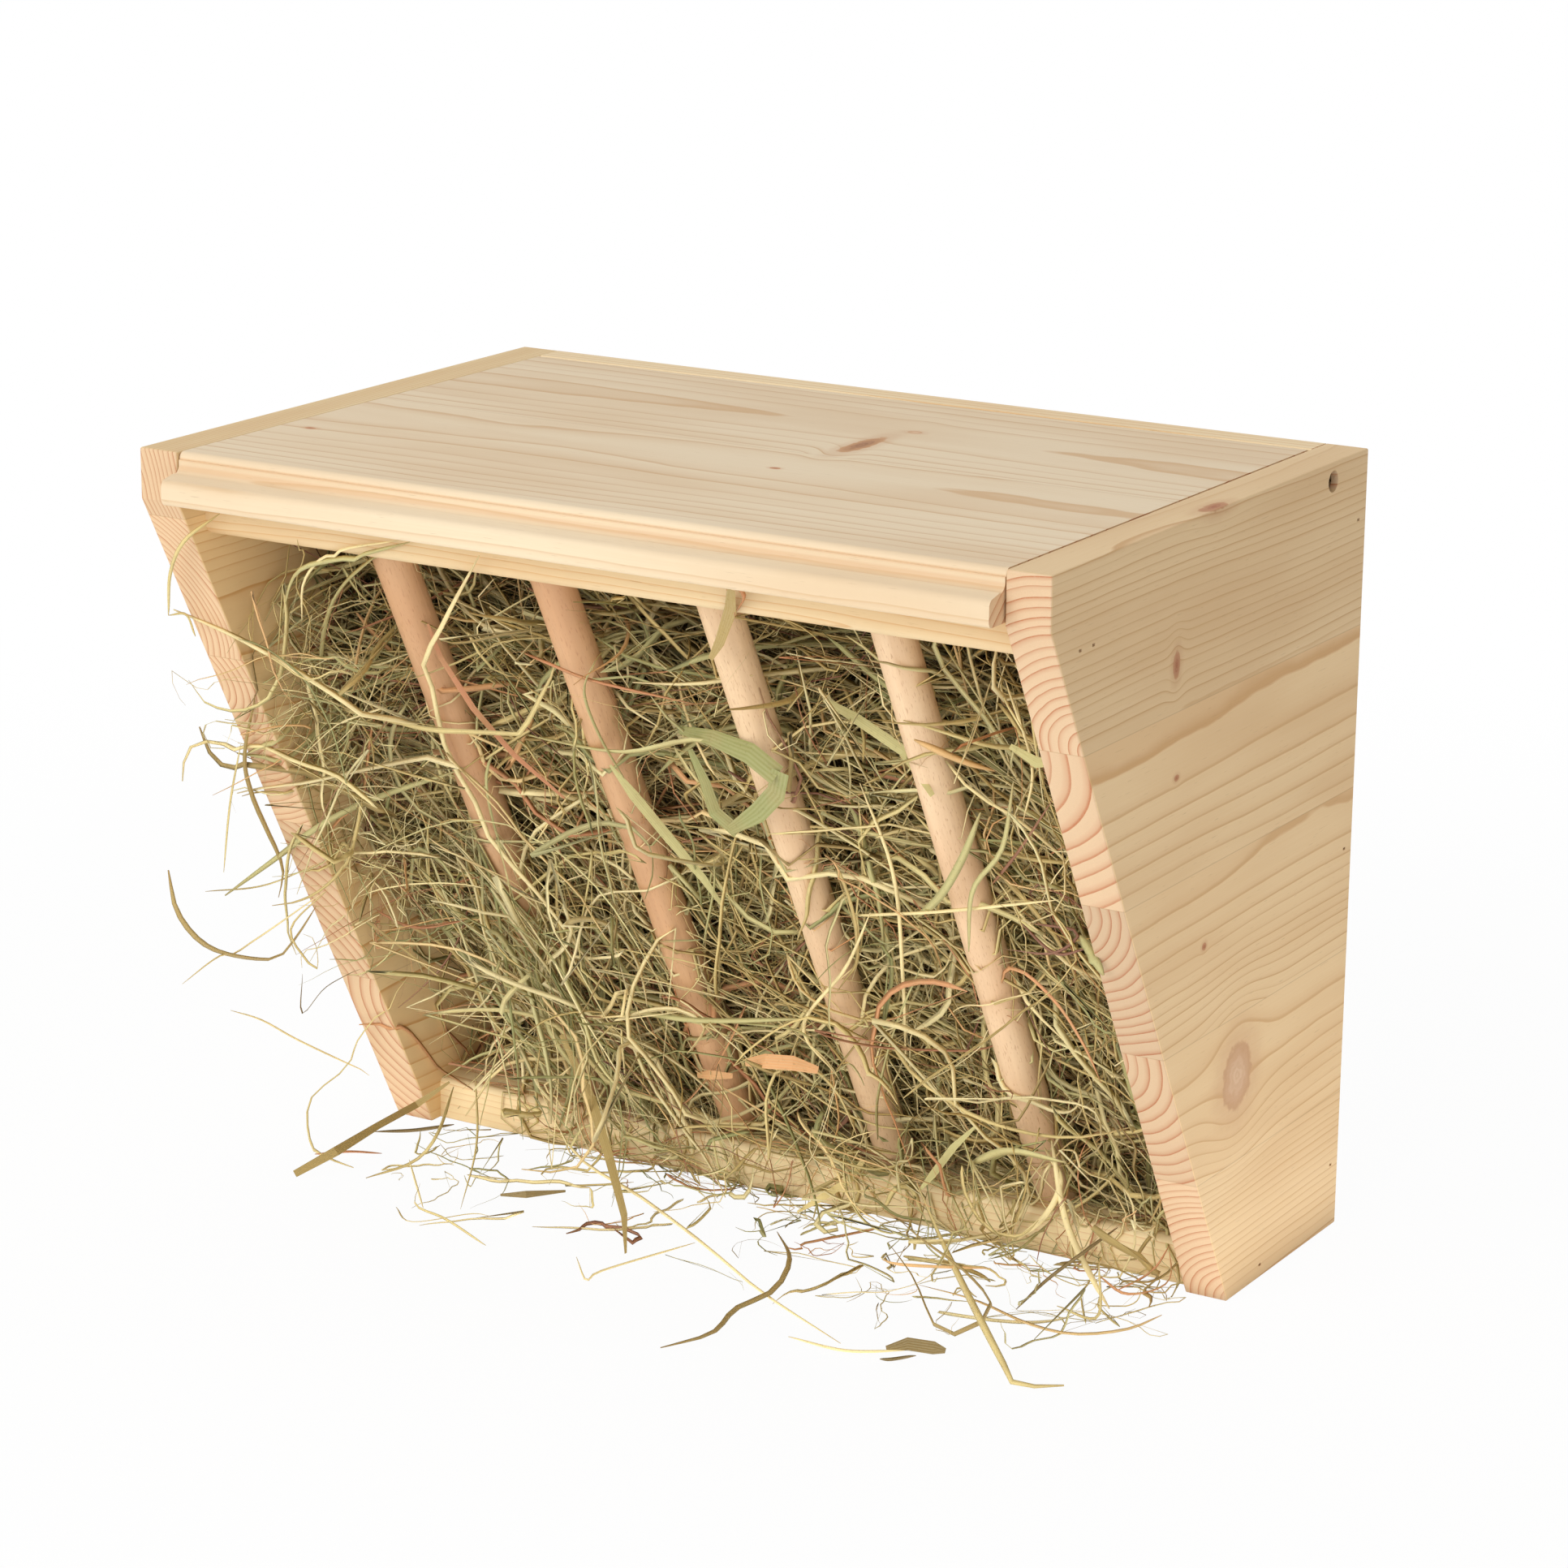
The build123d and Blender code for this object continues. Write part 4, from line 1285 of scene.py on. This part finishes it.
def ribbon(rows):
    """The points and faces of a thin flat strip with a slightly raised midrib."""
    rows = np.array(rows, float)
    middle, widths = rows[:, :3], rows[:, 3]
    front = np.array(leaf_facing) / np.linalg.norm(leaf_facing)
    ahead = np.gradient(middle, axis=0)
    half = unit(np.cross(ahead, front)) * widths[:, None] / 2
    midrib = middle + front * midrib_height * widths[:, None]
    rings = [middle - half, midrib, middle + half, middle - front * leaf_thickness]
    points = np.stack(rings, 1).reshape(-1, 3)
    faces = []
    for row in range(len(rows) - 1):
        for side in range(4):
            corner = 4 * row + side
            beside = 4 * row + (side + 1) % 4
            faces.append((corner, beside, beside + 4, corner + 4))
    last = 4 * (len(rows) - 1)
    faces += [(3, 2, 1, 0), (last, last + 1, last + 2, last + 3)]
    return points, faces


def cut_leaves(name, all_leaves):
    points, faces, tints, along, across = [], [], [], [], []
    for kind, rows in all_leaves:
        first = len(points)
        leaf_points, leaf_faces = ribbon(rows)
        points += leaf_points.tolist()
        faces += [[first + corner for corner in face] for face in leaf_faces]
        tints += [tint_of[kind]] * len(leaf_points)
        along += np.repeat(np.linspace(0.15, 0.85, len(rows)), 4).tolist()
        across += [-1.0, 0.0, 1.0, 0.0] * len(rows)
    mesh = bpy.data.meshes.new(name)
    mesh.from_pydata((np.array(points) / 1000.0).tolist(), [], faces)
    for label, values in (("tint", tints), ("along", along), ("across", across)):
        mesh.attributes.new(label, "FLOAT", "POINT").data.foreach_set("value", np.array(values, np.float32))
    shape = bmesh.new()
    shape.from_mesh(mesh)
    bmesh.ops.recalc_face_normals(shape, faces=shape.faces)
    shape.to_mesh(mesh)
    shape.free()
    rest_on_table(mesh)
    mesh.materials.append(hay)
    piece = bpy.data.objects.new(name, mesh)
    bpy.context.scene.collection.objects.link(piece)
    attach(piece, "box")
    print(name, len(all_leaves), "leaves,", len(faces), "faces")


def leaf_on_slope(rows):
    rows = np.array(rows, float)
    return np.column_stack([on_slope(rows[:, :3]), rows[:, 3]])


cut_leaves("hay_leaves", [(kind, leaf_on_slope(rows)) for _, kind, rows in leaves]
           + [(kind, rows) for _, kind, rows in table_leaves])

# %% [markdown]
# ### The dark heart of the hay
#
# A few centimetres in, the hay is packed so close that no light comes back. A lumpy core stands
# for that part. It is a ball whose directions are stretched to fill the wedge between floor,
# back and dowels, with bumps, and it wears a finish of crossing streaks painted dark as painted shade.

# %% Core of the hay
core_half_width = 158.0
core_middle, core_half_height = 128.0, 104.0
core_behind_slope = 66.0
core_back = 112.0


def core():
    ball = bmesh.new()
    bmesh.ops.create_icosphere(ball, subdivisions=6, radius=1.0)
    outward = np.array([vertex.co for vertex in ball.verts])
    boxy = np.sign(outward) * np.abs(outward) ** 0.45
    boxy /= np.abs(boxy).max(axis=1, keepdims=True) ** 0.6
    x = boxy[:, 0] * core_half_width
    z = core_middle + boxy[:, 2] * core_half_height
    front = -slope_front + (slope_top - z) * slope + core_behind_slope
    y = (front + core_back) / 2 + boxy[:, 1] * (core_back - front) / 2
    lumps = np.sin(x / 11.0 + 2.0 * np.sin(z / 17.0))
    lumps = lumps + np.sin(z / 9.0 + y / 13.0) + np.sin(y / 8.0 + x / 23.0)
    places = np.stack([x, y, z], -1) + outward * (5.0 * lumps)[:, None]
    clear_of_wood(places, 1.0)
    for vertex, place in zip(ball.verts, places):
        vertex.co = place / 1000.0
    mesh = bpy.data.meshes.new("hay_core")
    ball.to_mesh(mesh)
    ball.free()
    for face in mesh.polygons:
        face.use_smooth = True
    return mesh


def core_painted_shade_finish():
    finish, bench, shader = new_finish("packed_hay_painted_shade")
    mm, _ = bench.in_millimetres()
    layers = 0.0
    for turn in ((0.3, 0.2, 0.9), (1.1, -0.5, 2.2), (-0.6, 0.9, -0.7)):
        drawn_out = {"Vector": mm, "Rotation": turn, "Scale": (0.9, 0.9, 0.05)}
        turned = bench.add("ShaderNodeMapping", drawn_out)
        streak = bench.noise(turned.outputs[0], 1.0, 2.0, distortion=0.4).outputs["Fac"]
        layers = bench.math("MAXIMUM", layers, bench.between(streak, 0.5, 0.68))
    # Painted shade: dark browns for the hay that lies in shadow deep in the pile
    tint = bench.ramp(layers, [(0.0, colour(64, 50, 30)), (0.5, colour(112, 92, 56)),
                               (1.0, colour(150, 128, 82))])
    bench.feed(shader, {"Base Color": tint, "Roughness": 0.85, "Specular IOR Level": 0.15,
                        "Normal": bench.grooves(layers, 0.8, 0.0015)})
    return finish


core_mesh = core()
core_mesh.materials.append(core_painted_shade_finish())
hay_core = bpy.data.objects.new("hay_core", core_mesh)
bpy.context.scene.collection.objects.link(hay_core)
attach(hay_core, "box")
print("hay_core", len(core_mesh.polygons), "faces")

# %% [markdown]
# ## Table and light
#
# The table is one large pale sheet. To keep the background white and the shadow soft, the
# camera sees a mix of a glow and the lit surface near the feeder, and only the glow far away.
# Other rays see a plain pale surface, which throws some light back up under the feeder.

# %% Table
def seen_by_camera(bench):
    """1 for what the camera sees, straight or in a reflection, and 0 for light that bounces."""
    rays = bench.add("ShaderNodeLightPath").outputs
    return bench.math("MAXIMUM", rays["Is Camera Ray"], rays["Is Glossy Ray"])


def table_finish():
    finish, bench, shader = new_finish("pale_table")
    here = bench.add("ShaderNodeTexCoord")
    place = bench.vector("MULTIPLY", here.outputs["Object"], (1.0, 1.0, 0.0))
    far = bench.between(bench.vector("LENGTH", place), 0.35, 1.1)
    bench.feed(shader, {"Base Color": colour(250, 249, 247), "Roughness": 0.9, "Specular IOR Level": 0.1})
    lit = shader.outputs[0]
    glow = bench.add("ShaderNodeEmission", {"Color": (1, 1, 1, 1), "Strength": 1.0}).outputs[0]
    near = bench.add("ShaderNodeMixShader", {0: 0.95, 1: lit, 2: glow}).outputs[0]
    shown = bench.add("ShaderNodeMixShader", {0: far, 1: near, 2: glow}).outputs[0]
    result = bench.add("ShaderNodeMixShader", {0: seen_by_camera(bench), 1: lit, 2: shown}).outputs[0]
    bench.feed(finish.node_tree.nodes["Material Output"], {"Surface": result})
    return finish


sheet = bpy.data.meshes.new("table")
reach = 12.0
under_feet = -0.0002
corners = [(-reach, -reach, under_feet), (reach, -reach, under_feet), (reach, reach, under_feet),
           (-reach, reach, under_feet)]
sheet.from_pydata(corners, [], [(0, 1, 2, 3)])
sheet.materials.append(table_finish())
table = bpy.data.objects.new("table", sheet)
bpy.context.scene.collection.objects.link(table)
table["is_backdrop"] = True
print("table", 2 * reach, "m wide")

# %% [markdown]
# The light is a wide softbox in front with a smaller one over it, one overhead and a weak low
# one from the right. A glowing table would throw light back onto the feeder. Two weak lamps
# that lie on the table and shine upwards stand for that, one in front and one at the right.
# The rest is an even glow from all round that fills the shadows. The sum is kept at a level
# where a pale surface that faces the camera comes out about as light as it is painted.

# %% Lamps and surroundings
def softbox(name, place, aim, size, power):
    lamp = bpy.data.lights.new(name, "AREA")
    lamp.shape = "RECTANGLE"
    lamp.size, lamp.size_y = size
    lamp.energy = power
    held = bpy.data.objects.new(name, lamp)
    bpy.context.scene.collection.objects.link(held)
    away = (Vector(aim) - Vector(place)).normalized()
    turn = away.to_track_quat("-Z", "Y").to_matrix().to_4x4()
    held.matrix_world = Matrix.Translation(place) @ turn
    held.visible_camera = False
    print(name, power, "W")


softbox("front_light", (-0.3, -2.2, 1.0), (0.0, 0.0, 0.15), (2.2, 1.4), 25.0)
softbox("high_light", (-0.4, -2.0, 1.6), (0.0, 0.0, 0.15), (1.6, 1.2), 8.0)
softbox("top_light", (-0.2, 0.1, 2.6), (0.0, 0.0, 0.2), (1.6, 1.6), 7.5)
softbox("low_light", (1.4, -0.9, 0.14), (0.2, 0.0, 0.05), (1.0, 0.25), 0.8)
softbox("table_glow_right", (0.27, -0.03, 0.0006), (0.27, -0.03, 1.0), (0.12, 0.5), 0.14)
softbox("table_glow_front", (0.0, -0.14, 0.0006), (0.0, -0.14, 1.0), (0.44, 0.34), 0.26)

world = bpy.data.worlds.new("studio")
bpy.context.scene.world = world
world.use_nodes = True
air = Bench(world.node_tree)
strength = air.between(seen_by_camera(air), 0.0, 1.0, 0.52, 1.0, "LINEAR")
air.feed(world.node_tree.nodes["Background"], {"Color": (1, 1, 1, 1), "Strength": strength})

bpy.context.scene.view_settings.view_transform = "Standard"
print("the studio is lit")

# %% [markdown]
# ## Measure and finish
#
# The boxes of the construction and of the dressed feeder are measured and printed. The
# dressed feeder may stand only a little proud of the construction.

# %% Measure and finish
dressed_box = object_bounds()
sizes = {
    "cad": [list(cad_box[0]), list(cad_box[1])],
    "dressed": [list(dressed_box[0]), list(dressed_box[1])],
}
print("construction:", [round(place, 4) for corner in cad_box for place in corner])
print("dressed:     ", [round(place, 4) for corner in dressed_box for place in corner])
